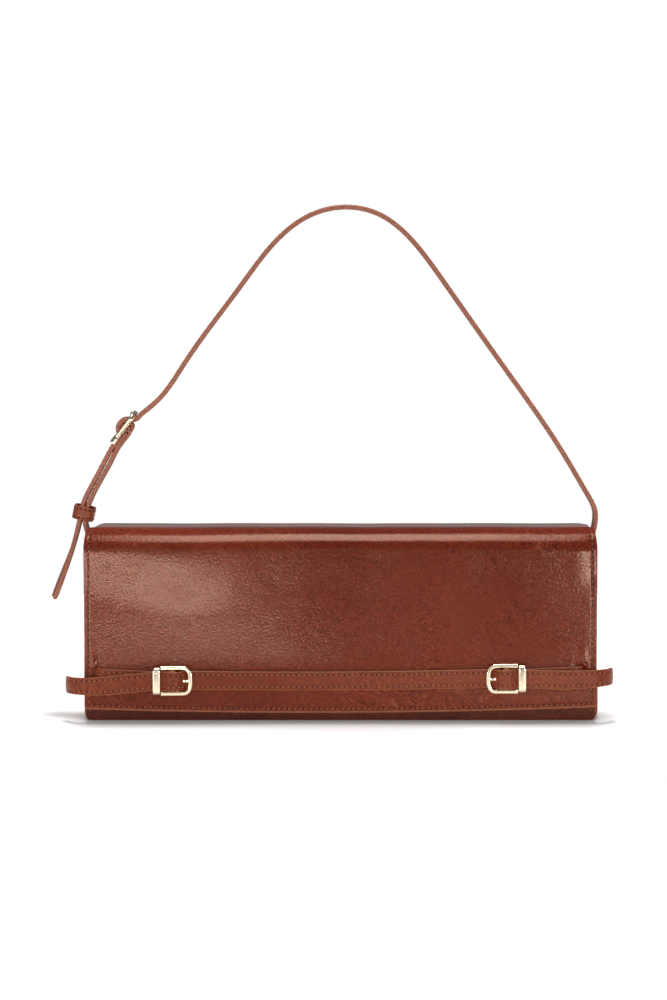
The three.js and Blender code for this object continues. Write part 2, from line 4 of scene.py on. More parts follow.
import bpy
import numpy as np
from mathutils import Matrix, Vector


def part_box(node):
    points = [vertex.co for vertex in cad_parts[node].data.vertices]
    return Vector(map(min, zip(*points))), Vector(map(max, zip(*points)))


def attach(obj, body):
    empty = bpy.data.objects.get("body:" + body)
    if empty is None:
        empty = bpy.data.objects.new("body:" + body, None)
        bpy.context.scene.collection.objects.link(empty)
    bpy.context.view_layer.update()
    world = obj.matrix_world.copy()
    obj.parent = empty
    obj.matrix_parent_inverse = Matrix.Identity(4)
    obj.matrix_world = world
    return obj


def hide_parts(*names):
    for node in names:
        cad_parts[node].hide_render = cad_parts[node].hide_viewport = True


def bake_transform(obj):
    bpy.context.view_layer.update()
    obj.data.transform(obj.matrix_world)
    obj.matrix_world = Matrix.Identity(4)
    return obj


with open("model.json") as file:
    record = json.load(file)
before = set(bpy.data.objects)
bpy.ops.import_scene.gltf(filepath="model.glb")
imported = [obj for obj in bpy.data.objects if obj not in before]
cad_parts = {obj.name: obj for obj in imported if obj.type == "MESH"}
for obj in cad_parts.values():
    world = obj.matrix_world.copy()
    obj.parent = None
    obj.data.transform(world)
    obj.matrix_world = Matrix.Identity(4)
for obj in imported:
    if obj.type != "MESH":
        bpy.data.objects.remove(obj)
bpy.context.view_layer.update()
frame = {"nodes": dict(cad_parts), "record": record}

MM = 0.001
QUARTER = math.pi / 2
SIDES = (("left", -1), ("right", 1))


def box(node):
    """Lower and upper corner of a CAD node."""
    return [np.array(corner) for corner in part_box(node)]


# Sizes taken from the frame
flap_low, flap_high = box("flap_leather")
back_high = box("back_panel")[1]
front_low, front_high = box("front_panel")
gusset_low, gusset_high = box("right_gusset")
lining_low, lining_high = box("lining")
belt_low, belt_high = box("belt")
joints = {joint["name"]: joint for joint in frame["record"]["behaviour"]["joints"]}

FLAP_HALF = flap_high[0] + 0.55 * MM
FLAP_FRONT = flap_low[1]
TOP = flap_high[2]
BODY_HALF = back_high[0]
BACK_FACE = back_high[1]
FRONT_FACE = front_low[1]
FRONT_TOP = front_high[2]
LEATHER = front_high[1] - front_low[1]
STRAP_Y = joints["strap_swing"]["pos_m"][1]
PIVOT_Z = joints["strap_swing"]["pos_m"][2]

# Body and flap; pairs are for the left and the right side
CLOTH = 0.6 * MM
GAP = 0.3 * MM
ROLL = 14 * MM
FLAP_TOP_HALF = BODY_HALF + 1.8 * MM
SIDE_SWELL = 3.2 * MM
SIDE_BULGE = {-1: 1.6 * MM, 1: 2.5 * MM}
SIDE_HOLLOW = 1.6 * MM
SWELL_LOW = 20 * MM
SWELL_HIGH = 60 * MM
FOOT_WIDE = 1.5 * MM
FOOT_TALL = 4.5 * MM
GUSSET_FOOT = 20 * MM
HEM_CORNER = 1.8 * MM
HEM_MIDDLE = 5.2 * MM
HEM_ENDS = 8 * MM
HEM_TILT = 0.6 * MM
HEM_ZONE = 34 * MM
HEM_BAND = 4
SLIT_X = flap_high[0] - 7.2 * MM
TAB_LIFT = {-1: 1.9 * MM, 1: 1.4 * MM}
SHOULDER_BULGE = 2 * MM
EDGE_CURL = {-1: 0.1 * MM, 1: 0.8 * MM}
RIM_CURL = {-1: 0.2 * MM, 1: 0.04 * MM}
CORNER_DROOP = {-1: 3.2 * MM, 1: 1.0 * MM}
GROOVE_DEEP = 0.2 * MM
GROOVE_WIDE = 0.5 * MM
SLIT_DEEP = 1.0 * MM
SLIT_WIDE = 0.55 * MM
PUCKER_RISE = 0.85 * MM
PUCKER_DIP = 0.5 * MM
WAVE_RISE = 0.12 * MM
BACK_BULGE = 1.3 * MM
TOP_SAG = 0.2 * MM

# Stitching
PITCH = 3.2 * MM
STITCH_LENGTH = 2.35 * MM
STITCH_TURN = 0.12
THREAD = 0.32 * MM
SIDE_INSET = 2.9 * MM
HEM_INSET = 2.5 * MM

# Belt and buckles
BELT_WIDTH = 11.5 * MM
BELT_THICK = 2 * MM
BELT_Z = (belt_low[2] + belt_high[2]) / 2 + 0.5 * MM
BELT_TILT = math.radians(0.36)
BELT_SHIFT = -0.7 * MM
BELT_SAG = 0.9 * MM
BELT_ROW = 2.2 * MM
PIN_X = flap_high[0] - 53.2 * MM
PIN_Y = joints["left_prong_lift"]["pos_m"][1]
TAB_THICK = 2.4 * MM
TAIL_RADIUS = 13 * MM
TAIL_REACH = flap_high[0] - 2.2 * MM
TAIL_TURN = math.radians(86)
LEFT_DROOP = 3.0 * MM
RIGHT_DROOP = 0.9 * MM
TAIL_TAPER = 0.11
FRAME_THICK = 2.2 * MM
STRAP_FRAME_THICK = 2.8 * MM
ARM_INNER = 6.475 * MM
ARM_WIDE = 2.5 * MM
ARM_MIDDLE = ARM_INNER + ARM_WIDE / 2
ARM_END = 7 * MM
CURVE_START = 5.5 * MM
CURVE_REACH = 12 * MM
CURVE_BAR = 2.6 * MM
KEEPER_INNER = 7.3 * MM
KEEPER_BAR = 4.4 * MM
KEEPER_THICK = 1.5 * MM
KEEPER_UNDER = 1.6 * MM
STRAP_KEEPER_UNDER = 0.5 * MM
EYE_RADIUS = 2 * MM
SLIP = 0.35 * MM
HUMP_FOOT = 8.8 * MM
STRAP_HUMP_FOOT = 9 * MM
HUMP_START = 2.2 * MM
HUMP_END = 1.4 * MM
PRONG_HOLE = 8 * MM
PRONG_HALF = (1.05 * MM, 0.6 * MM)
PRONG_SWELL = 1.6 * MM
PIN_RADIUS = 0.8 * MM
EYE_SLOT = 1.5 * MM
NEEDLE_PULL = 0.05 * MM
TIP_NARROW = 0.4

# Shoulder strap
STRAP_WIDTH = 12 * MM
STRAP_THICK = 2.8 * MM
FOOT_X = BODY_HALF + GAP + STRAP_THICK / 2
CROWN_RISE = 214 * MM
STRAP_PIN = np.array(joints["strap_prong_lift"]["pos_m"])
STRAP_LEAN = np.array([0.606, 0.796]) / math.hypot(0.606, 0.796)
STRAP_OUT = np.array([-STRAP_LEAN[1], STRAP_LEAN[0]])
LOOP_CENTRE = np.array([-(FOOT_X + 4.2 * MM), PIVOT_Z + 28.6 * MM])
LOOP_TILT = math.radians(12)
LOOP_LEAN = np.array([math.sin(LOOP_TILT), math.cos(LOOP_TILT)])
LOOP_ACROSS = np.array([LOOP_LEAN[1], -LOOP_LEAN[0]])
LOOP_HEIGHT = 8.4 * MM
LOOP_ROW = 1.5 * MM
LOOP_HALF = 5.9 * MM
LOOP_THICK = 1.4 * MM
STRAND_HALF = 1.6 * MM
TAIL_TWIST = math.radians(-9)


# Curves and arrays

def hold(t):
    """A value held between 0 and 1."""
    return np.clip(t, 0, 1)


def smooth(t):
    """Smooth step: 3t^2 - 2t^3 with t held between 0 and 1."""
    held = hold(t)
    return held * held * (3 - 2 * held)


def ramp(value, start, reach):
    """Smooth step while a value goes from start by reach, which is below zero for a value that falls."""
    return smooth((value - start) / reach)


def bell(distance, width):
    """Bell curve of height 1: exp(-(distance / width)^2)."""
    return np.exp(-((distance / width) ** 2))


def edge_fall(gap, reach):
    """Square law that falls from 1 at an edge to 0 at reach from it."""
    return hold(1 - gap / reach) ** 2


def by_side(x, pair):
    """The left side's value where x is below zero, and the right side's elsewhere."""
    return np.where(x < 0, pair[-1], pair[1])


def stack(*parts):
    """Points from their coordinates, where a single number is repeated."""
    return np.stack(np.broadcast_arrays(*parts), axis=-1)


def unit(ways):
    """Directions at length 1."""
    return ways / np.linalg.norm(ways, axis=-1, keepdims=True)


def stretches(marks, counts):
    """Places from the first mark to the last, in the given number of even steps from each to the next."""
    parts = [np.linspace(*marks[i:i + 2], count, endpoint=False) for i, count in enumerate(counts)]
    return np.append(np.concatenate(parts), marks[-1])


def circle(count):
    """Even angles once round."""
    return np.arange(count) * 2 * math.pi / count


# Mesh building

def grid_quads(rows, cols, wrap=False):
    """Quads of a rows by cols grid of points, joined round the columns when wrap is set."""
    row, col = np.meshgrid(np.arange(rows - 1), np.arange(cols if wrap else cols - 1), indexing="ij")
    after = (col + 1) % cols
    corners = [row * cols + col, row * cols + after, (row + 1) * cols + after, (row + 1) * cols + col]
    return np.stack(corners, axis=-1).reshape(-1, 4)


def new_piece(name, points, faces, materials, index=None):
    """An object at the origin from points and faces, and a material number for each face where given."""
    mesh = bpy.data.meshes.new(name)
    mesh.from_pydata(points.reshape(-1, 3).tolist(), [], faces)
    for material in materials:
        mesh.materials.append(material)
    mesh.polygons.foreach_set("use_smooth", np.ones(len(mesh.polygons), dtype=bool))
    if index is not None:
        mesh.polygons.foreach_set("material_index", index.astype(np.int32))
    mesh.update()
    piece = bpy.data.objects.new(name, mesh)
    bpy.context.collection.objects.link(piece)
    return piece


def sheet_piece(name, grid, materials, thick, edge_round, flip=False, band=0):
    """An open surface on a grid, thickened inwards and with its cut edges rounded over.

    The last band rows of faces get the edge finish.
    """
    rows, cols = grid.shape[:2]
    quads = grid_quads(rows, cols)
    if flip:
        quads = quads[:, ::-1]
    in_band = np.arange(len(quads)) >= len(quads) - band * (cols - 1)
    piece = new_piece(name, grid, quads.tolist(), materials, in_band)
    wall = piece.modifiers.new("wall", "SOLIDIFY")
    wall.thickness = thick
    wall.offset = -1
    wall.use_even_offset = False
    wall.material_offset_rim = 1
    edge = piece.modifiers.new("edge", "BEVEL")
    edge.width = edge_round
    edge.segments = 3
    edge.limit_method = "ANGLE"
    edge.angle_limit = math.radians(80)
    edge.material = 1
    return piece


def tube_faces(count, rings, sides):
    """Faces of count closed tubes, each of rings by sides points, with a flat cap at both ends."""
    starts = np.arange(count)[:, None, None] * rings * sides
    quads = (grid_quads(rings, sides, wrap=True)[None] + starts).reshape(-1, 4).tolist()
    first = (np.arange(sides)[::-1] + starts[:, 0]).tolist()
    last = (np.arange(sides) + (rings - 1) * sides + starts[:, 0]).tolist()
    return quads + first + last


def face_out(piece):
    """Turns the faces outwards where the mesh is inside out: its signed volume is then below zero."""
    mesh = piece.data
    mesh.calc_loop_triangles()
    corners = np.empty(len(mesh.loop_triangles) * 3, dtype=np.int32)
    mesh.loop_triangles.foreach_get("vertices", corners)
    places = np.empty(len(mesh.vertices) * 3)
    mesh.vertices.foreach_get("co", places)
    a, b, c = places.reshape(-1, 3)[corners.reshape(-1, 3)].transpose(1, 0, 2)
    if np.einsum("ij,ij->i", a, np.cross(b, c)).sum() < 0:
        mesh.flip_normals()
    return piece


def tube_piece(name, rings, materials, index=None, count=1):
    """Closed tubes from rings of points, with their caps."""
    faces = tube_faces(count, rings.shape[0] // count, rings.shape[1])
    return face_out(new_piece(name, rings, faces, materials, index))


def dress(piece, body, slot, *nodes):
    """Rides a finished piece on its body and hides the solids that it stands for; the slot is not used."""
    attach(piece, body)
    if nodes:
        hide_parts(*nodes)


# Lines

def lengths(line):
    """Distance along a line of points, from its first point."""
    return np.concatenate([[0], np.cumsum(np.linalg.norm(np.diff(line, axis=0), axis=1))])


def read_off(at, run, values):
    """Values that are known at the distances run, read off at other distances."""
    return np.stack([np.interp(at, run, axis) for axis in values.T], axis=1)


def resample(line, step):
    """The line again at even steps along its length."""
    run = lengths(line)
    return read_off(np.linspace(0, run[-1], max(int(round(run[-1] / step)), 1) + 1), run, line)


def spline(points, step):
    """Natural cubic spline through points, by chord length, at even steps.

    The second derivatives m solve h0 m0 + 2(h0 + h1) m1 + h1 m2 = 6 (slope1 - slope0) at each inner point.
    """
    points = np.asarray(points, dtype=float)
    run = lengths(points)
    gaps = np.diff(run)
    slopes = np.diff(points, axis=0) / gaps[:, None]
    count = len(points)
    system = np.eye(count)
    inner = np.arange(1, count - 1)
    system[inner, inner - 1] = gaps[:-1]
    system[inner, inner] = 2 * (gaps[:-1] + gaps[1:])
    system[inner, inner + 1] = gaps[1:]
    right = np.zeros_like(points)
    right[1:-1] = 6 * np.diff(slopes, axis=0)
    bend = np.linalg.solve(system, right)
    at = np.linspace(0, run[-1], int(run[-1] / step) * 4 + 2)
    span = np.clip(np.searchsorted(run, at, side="right") - 1, 0, count - 2)
    gap = gaps[span][:, None]
    before = (run[span + 1] - at)[:, None]
    after = (at - run[span])[:, None]
    curve = (bend[span] * before**3 + bend[span + 1] * after**3) / (6 * gap)
    curve += (points[span] / gap - bend[span] * gap / 6) * before
    curve += (points[span + 1] / gap - bend[span + 1] * gap / 6) * after
    return resample(curve, step)


def soften(line, reach):
    """Running mean over reach points each way, with the ends held."""
    padded = np.concatenate([np.repeat(line[:1], reach, 0), line, np.repeat(line[-1:], reach, 0)])
    total = np.cumsum(np.concatenate([np.zeros((1, line.shape[1])), padded]), axis=0)
    mean = (total[2 * reach + 1:] - total[:-2 * reach - 1]) / (2 * reach + 1)
    mean[0], mean[-1] = line[0], line[-1]
    return mean


def directions(line):
    """Unit tangents of a line of points."""
    return unit(np.gradient(line, axis=0))


# Materials

class Nodes:
    """Short calls that build a node tree. A value is a number, a colour or the output of another node."""

    def __init__(self, tree):
        self.tree = tree

    def feed(self, node, **values):
        """Fills or links sockets: in2 is socket 2, and any other word is a name with _ for a space."""
        for key, value in values.items():
            socket = node.inputs[int(key[2:]) if key.startswith("in") else key.replace("_", " ")]
            if isinstance(value, bpy.types.NodeSocket):
                self.tree.links.new(value, socket)
            else:
                socket.default_value = value
        return node

    def node(self, kind, settings=(), **values):
        """A shader node of that kind with its settings made and its sockets filled."""
        made = self.tree.nodes.new("ShaderNode" + kind)
        for key, value in dict(settings).items():
            setattr(made, key, value)
        return self.feed(made, **values)

    def where(self):
        """Places in the object's own coordinates."""
        return self.node("TexCoord").outputs["Object"]

    def maths(self, operation, first, second=0.0):
        """One step of arithmetic on two values."""
        return self.node("Math", {"operation": operation}, in0=first, in1=second).outputs[0]

    def times(self, first, second):
        """The product of two values."""
        return self.maths("MULTIPLY", first, second)

    def plus(self, first, second):
        """The sum of two values."""
        return self.maths("ADD", first, second)

    def remap(self, value, low, high, to_low=0.0, to_high=1.0):
        """A value moved linearly from one range to another, and held inside it."""
        return self.node("MapRange", in0=value, in1=low, in2=high, in3=to_low, in4=to_high).outputs[0]

    def mix(self, share, first, second, kind="MIX"):
        """A colour that is a share of the way from the first to the second."""
        settings = {"data_type": "RGBA", "blend_type": kind}
        return self.node("Mix", settings, in0=share, in6=first, in7=second).outputs[2]

    def noise(self, where, scale, detail=2.0, rough=0.5, bend=0.0):
        """Soft random values from 0 to 1."""
        made = self.node("TexNoise", Vector=where, Scale=scale, Detail=detail, Roughness=rough,
                         Distortion=bend)
        return made.outputs["Fac"]

    def streaks(self, where, angle, sizes, detail=2.0, rough=0.5, bend=0.0):
        """Noise turned about Y by an angle and stretched to the given sizes in millimetres."""
        made = self.node("Mapping", {"vector_type": "TEXTURE"}, Vector=where, Rotation=(0, angle, 0),
                         Scale=[size * MM for size in sizes])
        return self.noise(made.outputs[0], 1.0, detail, rough, bend)

    def bump(self, height, strength, distance):
        """Normals that follow a height."""
        return self.node("Bump", Strength=strength, Distance=distance, Height=height).outputs[0]


def hide_grain():
    """Polished hide: pores, short wrinkles in two crossing directions, long creases and slow tone changes,
    with painted shade in the wrinkles' furrows and painted highlight on their ridges.
    """
    tree = bpy.data.node_groups.new("hide_grain", "ShaderNodeTree")
    for label in ("Wrinkles", "Creases"):
        tree.interface.new_socket(label, in_out="INPUT", socket_type="NodeSocketFloat")
    for label in ("Height", "Tone", "Wear", "Shade"):
        tree.interface.new_socket(label, in_out="OUTPUT", socket_type="NodeSocketFloat")
    make = Nodes(tree)
    share = tree.nodes.new("NodeGroupInput").outputs
    where = make.where()
    drift = make.node("TexNoise", Vector=where, Scale=38.0, Detail=2.0).outputs["Color"]
    shift = make.node("VectorMath", {"operation": "SCALE"}, in0=drift, Scale=0.010).outputs[0]
    bent = make.node("VectorMath", {"operation": "ADD"}, in0=where, in1=shift).outputs[0]

    pores = make.node("TexVoronoi", {"feature": "SMOOTH_F1"}, Vector=bent, Scale=800.0).outputs[0]
    one_way = make.streaks(bent, 0.62, (2.1, 1.1, 0.88), 2.0, 0.6, 0.3)
    other_way = make.streaks(bent, -0.75, (2.3, 1.1, 0.92), 2.0, 0.6, 0.3)
    patch = make.remap(make.noise(where, 21.0), 0.38, 0.62)
    lines = make.plus(make.times(one_way, patch), make.times(other_way, make.maths("SUBTRACT", 1.0, patch)))
    depth = make.remap(make.noise(where, 34.0), 0.35, 0.7, 0.45, 1.0)
    wrinkles = make.times(make.times(lines, depth), share["Wrinkles"])
    # Painted light and shade: a colour factor below 1 in the furrows and above 1 on the ridges of the
    # wrinkles.
    ridge_light_and_shade = make.times(make.remap(lines, 0.34, 0.66, -0.6, 0.6), depth)
    painted_light_and_shade = make.plus(make.times(ridge_light_and_shade, share["Wrinkles"]), 1.0)

    creases = []
    for angle, sizes, middle, width in ((0.72, (95, 30, 10), 0.5, 0.012), (-0.95, (80, 30, 9), 0.52, 0.010)):
        field = make.streaks(bent, angle, sizes, 2.0, 0.45)
        off_line = make.maths("ABSOLUTE", make.maths("SUBTRACT", field, middle))
        creases.append(make.remap(off_line, 0.0, width, 1.0, 0.0))
    sparse = make.remap(make.noise(where, 17.0), 0.5, 0.66)
    wear = make.times(make.times(make.maths("MAXIMUM", *creases), sparse), share["Creases"])

    height = make.plus(make.plus(make.times(pores, 0.45), wrinkles), make.times(wear, 0.1))
    slow, quick = make.noise(where, 13.0, 3.0), make.noise(where, 190.0)
    tone = make.plus(make.times(slow, 0.75), make.times(quick, 0.25))
    make.feed(tree.nodes.new("NodeGroupOutput"), Height=height, Tone=tone, Wear=wear, Shade=painted_light_and_shade)
    return tree


def new_material(name):
    """A material, the calls that build it and its shader."""
    made = bpy.data.materials.new(name)
    made.use_nodes = True
    return made, Nodes(made.node_tree), made.node_tree.nodes["Principled BSDF"]


def hide_material(name, deep, warm, worn, wrinkles, creases, gloss, bump, shine=0.25):
    """Dyed and polished leather in three tones, with its grain, glossier where it is smooth."""
    made, make, shader = new_material(name)
    grain = make.node("Group", {"node_tree": GRAIN}, Wrinkles=wrinkles, Creases=creases).outputs
    colour = make.mix(make.remap(grain["Tone"], 0.36, 0.64), deep, warm)
    colour = make.mix(make.times(grain["Wear"], 0.35), colour, worn)
    # The grain's Shade output darkens the colour in furrows and lightens it on ridges: painted shade and
    # painted highlight.
    colour = make.mix(1.0, colour, grain["Shade"], "MULTIPLY")
    make.feed(shader, Base_Color=colour, Specular_IOR_Level=shine, Specular_Tint=(1.0, 0.7, 0.55, 1),
              Roughness=make.remap(grain["Tone"], 0.3, 0.7, gloss - 0.03, gloss + 0.05),
              Normal=make.bump(grain["Height"], bump, 0.25 * MM))
    return made


def mottled(name, first, second, scale, low, high, rough, detail=3.0, **values):
    """A surface that drifts between two colours with a noise, and in roughness where rough is a range."""
    made, make, shader = new_material(name)
    share = make.remap(make.noise(make.where(), scale, detail), low, high)
    if isinstance(rough, tuple):
        rough = make.remap(share, 0.0, 1.0, *rough)
    make.feed(shader, Base_Color=make.mix(share, first, second), Roughness=rough, **values)
    return made


def edge_material(name, colour, dark):
    """Painted cut edge: an uneven brown film over layered leather."""
    return mottled(name, dark, colour, 420.0, 0.35, 0.65, 0.5, Specular_IOR_Level=0.25)


def thread_material(name, light, dark):
    """Twisted thread: fine slanting bands of two tones."""
    made, make, shader = new_material(name)
    lay = make.streaks(make.where(), 0.8, (0.6, 0.4, 0.2), 1.0)
    make.feed(shader, Base_Color=make.mix(make.remap(lay, 0.38, 0.62), dark, light), Roughness=0.6,
              Normal=make.bump(lay, 0.5, 0.05 * MM))
    return made


def steel_material():
    """Satin plated steel with fine turning marks."""
    made, make, shader = new_material("satin_steel")
    where = make.where()
    stain = make.remap(make.noise(where, 240.0, 3.0), 0.3, 0.7)
    marks = make.streaks(where, 0.0, (1.1, 1.1, 0.2))
    make.feed(shader, Base_Color=make.mix(stain, (0.42, 0.40, 0.36, 1), (0.56, 0.54, 0.49, 1)),
              Roughness=make.remap(marks, 0.2, 0.8, 0.24, 0.42), Metallic=1.0)
    return made


def cloth_material():
    """Plain-woven lining: crossing threads about half a millimetre apart, with slubs."""
    made, make, shader = new_material("lining_weave")
    where = make.where()
    waves = [make.node("TexWave", {"bands_direction": way}, Vector=where, Scale=620.0, Distortion=0.6,
                       Detail=1.0).outputs["Fac"] for way in ("X", "Z")]
    weave = make.maths("MAXIMUM", *waves)
    slub = make.remap(make.noise(where, 75.0, 3.0), 0.3, 0.7)
    colour = make.mix(slub, (0.20, 0.10, 0.055, 1), (0.30, 0.165, 0.095, 1))
    # Painted shade: the gaps between the threads are darkened towards near black.
    colour = make.mix(make.remap(weave, 0.2, 1.0, 0.45, 0.0), colour, (0.07, 0.03, 0.016, 1))
    make.feed(shader, Base_Color=colour, Normal=make.bump(weave, 0.5, 0.15 * MM), Roughness=0.85,
              Sheen_Weight=0.2)
    return made


def board_material():
    """Grey-brown pressed board with fibres."""
    made, make, shader = new_material("pressed_board")
    fibre = make.remap(make.streaks(make.where(), 0.3, (4.2, 4.2, 0.5), 3.0), 0.3, 0.7)
    make.feed(shader, Base_Color=make.mix(fibre, (0.20, 0.15, 0.10, 1), (0.33, 0.26, 0.19, 1)), Roughness=0.9)
    return made


GRAIN = hide_grain()
PANEL_HIDE = hide_material("polished_hide", (0.144, 0.019, 0.008, 1), (0.18, 0.027, 0.011, 1),
                           (0.36, 0.12, 0.07, 1), 1.0, 1.0, 0.16, 0.42)
STRAP_HIDE = hide_material("strap_hide", (0.17, 0.027, 0.011, 1), (0.22, 0.043, 0.018, 1),
                           (0.36, 0.14, 0.09, 1), 0.8, 0.3, 0.33, 0.5)
# Darker copy of the hide for the front panel and base: painted shade, for the shadow under the flap and under
# the bag.
SHADED_BODY_HIDE = hide_material("body_hide", (0.085, 0.0135, 0.0077, 1), (0.12, 0.022, 0.012, 1),
                          (0.3, 0.11, 0.07, 1), 1.0, 0.6, 0.38, 0.5)
# Lighter, less glossy copy of the hide for the soft sides: painted light, for the side light that falls on
# them.
SIDE_HIDE_PAINTED_LIGHT = hide_material("side_hide", (0.22, 0.038, 0.017, 1), (0.26, 0.055, 0.024, 1),
                          (0.36, 0.14, 0.09, 1), 1.0, 0.6, 0.55, 0.5, shine=0.05)
LOOP_HIDE = hide_material("loop_hide", (0.27, 0.05, 0.022, 1), (0.33, 0.075, 0.035, 1),
                          (0.4, 0.16, 0.1, 1), 0.8, 0.3, 0.33, 0.5)
EDGE = edge_material("painted_edge", (0.33, 0.10, 0.038, 1), (0.25, 0.07, 0.026, 1))
BELT_EDGE = edge_material("belt_edge", (0.42, 0.15, 0.055, 1), (0.33, 0.108, 0.04, 1))
STRAP_EDGE = edge_material("strap_edge", (0.46, 0.16, 0.09, 1), (0.40, 0.13, 0.072, 1))
BODY_EDGE = edge_material("body_edge", (0.2, 0.06, 0.034, 1), (0.12, 0.032, 0.018, 1))
# Near-black colour for the lids over the needle holes: painted shade for the inside of each hole.
HOLE = mottled("needle_hole_shade", (0.02, 0.004, 0.003, 1), (0.05, 0.01, 0.006, 1), 900.0, 0.0, 1.0, 0.8, 2.0,
               Specular_IOR_Level=0.2)
STITCHING = [thread_material("brown_thread", (0.30, 0.085, 0.04, 1), (0.17, 0.04, 0.02, 1)), HOLE]
LIGHT_STITCHING = [thread_material("light_thread", (0.40, 0.125, 0.055, 1), (0.25, 0.07, 0.03, 1)), HOLE]
GOLD = mottled("pale_gold", (0.88, 0.72, 0.5, 1), (0.93, 0.8, 0.6, 1), 160.0, 0.3, 0.7, (0.1, 0.14),
               Metallic=1.0)
STEEL = steel_material()
WEAVE = cloth_material()
BOARD = board_material()


def refinish(node, material):
    """Gives a CAD node that stays visible its material."""
    frame["nodes"][node].data.materials.clear()
    frame["nodes"][node].data.materials.append(material)


# Stitches

def sew(name, rows, body, thread, length=STITCH_LENGTH, pitch=PITCH, sunk=0.85):
    """Rows of sewn thread that ride a body. Each row is a line on a surface and the surface's normals there.

    A stitch is a tube along the row whose height follows 1 - a^4 and whose radius follows sqrt(1 - a^6 / 2)
    for a from -1 to 1, turned a little across the row. Each end has a hole: an oval lid over a sunk tip,
    coloured near black as painted shade for the inside of the hole.
    """
    sides, hole_sides = 6, 8
    laid = []
    for line, normals in rows:
        run = lengths(line)
        count = max(int(run[-1] / pitch), 1)
        at = (np.arange(count) + 0.5) * run[-1] / count
        known = (line, directions(line), np.broadcast_to(normals, line.shape))
        laid.append([read_off(at, run, values) for values in known])
    centre, along, up = (np.concatenate(parts) for parts in zip(*laid))
    up = unit(up)
    along = along * math.cos(STITCH_TURN) + np.cross(up, along) * math.sin(STITCH_TURN)
    axes = np.stack([along, up, np.cross(up, along)], axis=1)[:, None]
    middle = centre[:, None, None]

    a = np.array([-1, -0.8, -0.35, 0.35, 0.8, 1])[:, None]
    rise = THREAD * (1.25 * (1 - a**4) - sunk)
    radius = THREAD * np.sqrt(1 - a**6 / 2)
    turn = circle(sides)
    tubes = middle + stack(a * length / 2, rise + 0.75 * radius * np.cos(turn), -radius * np.sin(turn)) @ axes
    turn = circle(hole_sides)
    ends = np.array([[-1], [1]]) * length / 2
    shade_lids = middle + stack(ends + 0.5 * MM * np.cos(turn), 0.05 * MM, 0.4 * MM * np.sin(turn)) @ axes
    tips = middle + stack(ends, -0.35 * MM, 0.0) @ axes

    faces = tube_faces(len(centre), len(a), sides)
    thread_faces = len(faces)
    lid = np.arange(shade_lids.size // 3).reshape(-1, hole_sides) + tubes.size // 3
    tip = np.repeat(np.arange(len(lid))[:, None], hole_sides, axis=1) + (tubes.size + shade_lids.size) // 3
    faces += lid.tolist() + np.stack([np.roll(lid, -1, axis=1), lid, tip], axis=-1).reshape(-1, 3).tolist()
    points = np.concatenate([part.reshape(-1, 3) for part in (tubes, shade_lids, tips)])
    dress(new_piece(name, points, faces, thread, np.arange(len(faces)) >= thread_faces), body, "leather")


# Outer skin: back panel and flap in one, measured along its section from the base at the back

SKIN_UP = TOP - ROLL
SKIN_QUARTER = ROLL * QUARTER
SKIN_ACROSS = (BACK_FACE - ROLL) - (FLAP_FRONT + ROLL)
SKIN_ROLL = SKIN_UP + SKIN_QUARTER + SKIN_ACROSS
SKIN_FRONT = SKIN_ROLL + SKIN_QUARTER
SKIN_BASE = SKIN_FRONT + TOP - ROLL
SKIN_END = SKIN_BASE - HEM_MIDDLE


def skin_section(s, depth=0.0):
    """Section of the skin at distance s from the base at the back, as y, z and the outward normal's y, z.

    It runs straight up the back, turns a quarter circle over the shoulder, crosses the top, turns a quarter
    circle over the fold and drops down the front; depth moves it inwards along its normal.
    """
    first = np.clip((s - SKIN_UP) / ROLL, 0, QUARTER)
    second = np.clip((s - SKIN_ROLL) / ROLL, 0, QUARTER)
    across = np.clip(s - SKIN_UP - SKIN_QUARTER, 0, SKIN_ACROSS)
    y = BACK_FACE - ROLL + ROLL * np.cos(first) - across - ROLL * np.sin(second)
    z = np.minimum(s, SKIN_UP) + ROLL * np.sin(first) - ROLL * (1 - np.cos(second))
    z = z - np.maximum(s - SKIN_FRONT, 0)
    normal_y, normal_z = np.cos(first + second), np.sin(first + second)
    return y - depth * normal_y, z - depth * normal_z, normal_y, normal_z


def low_swell(z):
    """Share of a side's swelling at height z: it fades upwards as a smooth step."""
    return ramp(z, SWELL_HIGH, SWELL_LOW - SWELL_HIGH)


def body_half(z):
    """Half width of the body at height z: it swells towards the base and turns in on a narrow round foot."""
    turn = hold((FOOT_TALL - z) / FOOT_TALL)
    return BODY_HALF + SIDE_SWELL * low_swell(z) - FOOT_WIDE * (1 - np.sqrt(1 - turn**2))


def skin_half(s):
    """Half width of the skin: the body's up the back, more across the top and the flap's own on the front."""
    back = body_half(np.minimum(s, SKIN_UP))
    top = back + (FLAP_TOP_HALF - BODY_HALF) * ramp(s, SKIN_UP + SKIN_QUARTER + 13 * MM, 8 * MM)
    return top + (FLAP_HALF - FLAP_TOP_HALF) * ramp(s, SKIN_ROLL, SKIN_QUARTER)


def hem_height(x):
    """Height of the flap's hem: a parabola that is low in the middle, slightly tilted, with round corners.

    A corner of radius r rises by r - sqrt(r^2 - d^2) at d past where its arc starts.
    """
    share = x / (FLAP_HALF - HEM_CORNER)
    past = np.clip(np.abs(x) - (FLAP_HALF - HEM_CORNER), 0, HEM_CORNER)
    corner = HEM_CORNER - np.sqrt(np.maximum(HEM_CORNER**2 - past**2, 0))
    return HEM_MIDDLE + (HEM_ENDS - HEM_MIDDLE) * share**2 + HEM_TILT * share + corner


def edge_steps(half, fine=0.45 * MM, band=9 * MM, wide=2.4 * MM):
    """Places from -half to half, close together near both edges."""
    edge = np.linspace(0, band, round(band / fine), endpoint=False)
    middle = np.linspace(band - half, half - band, int(2 * (half - band) / wide))
    return np.concatenate([-half + edge, middle, half - edge[::-1]])


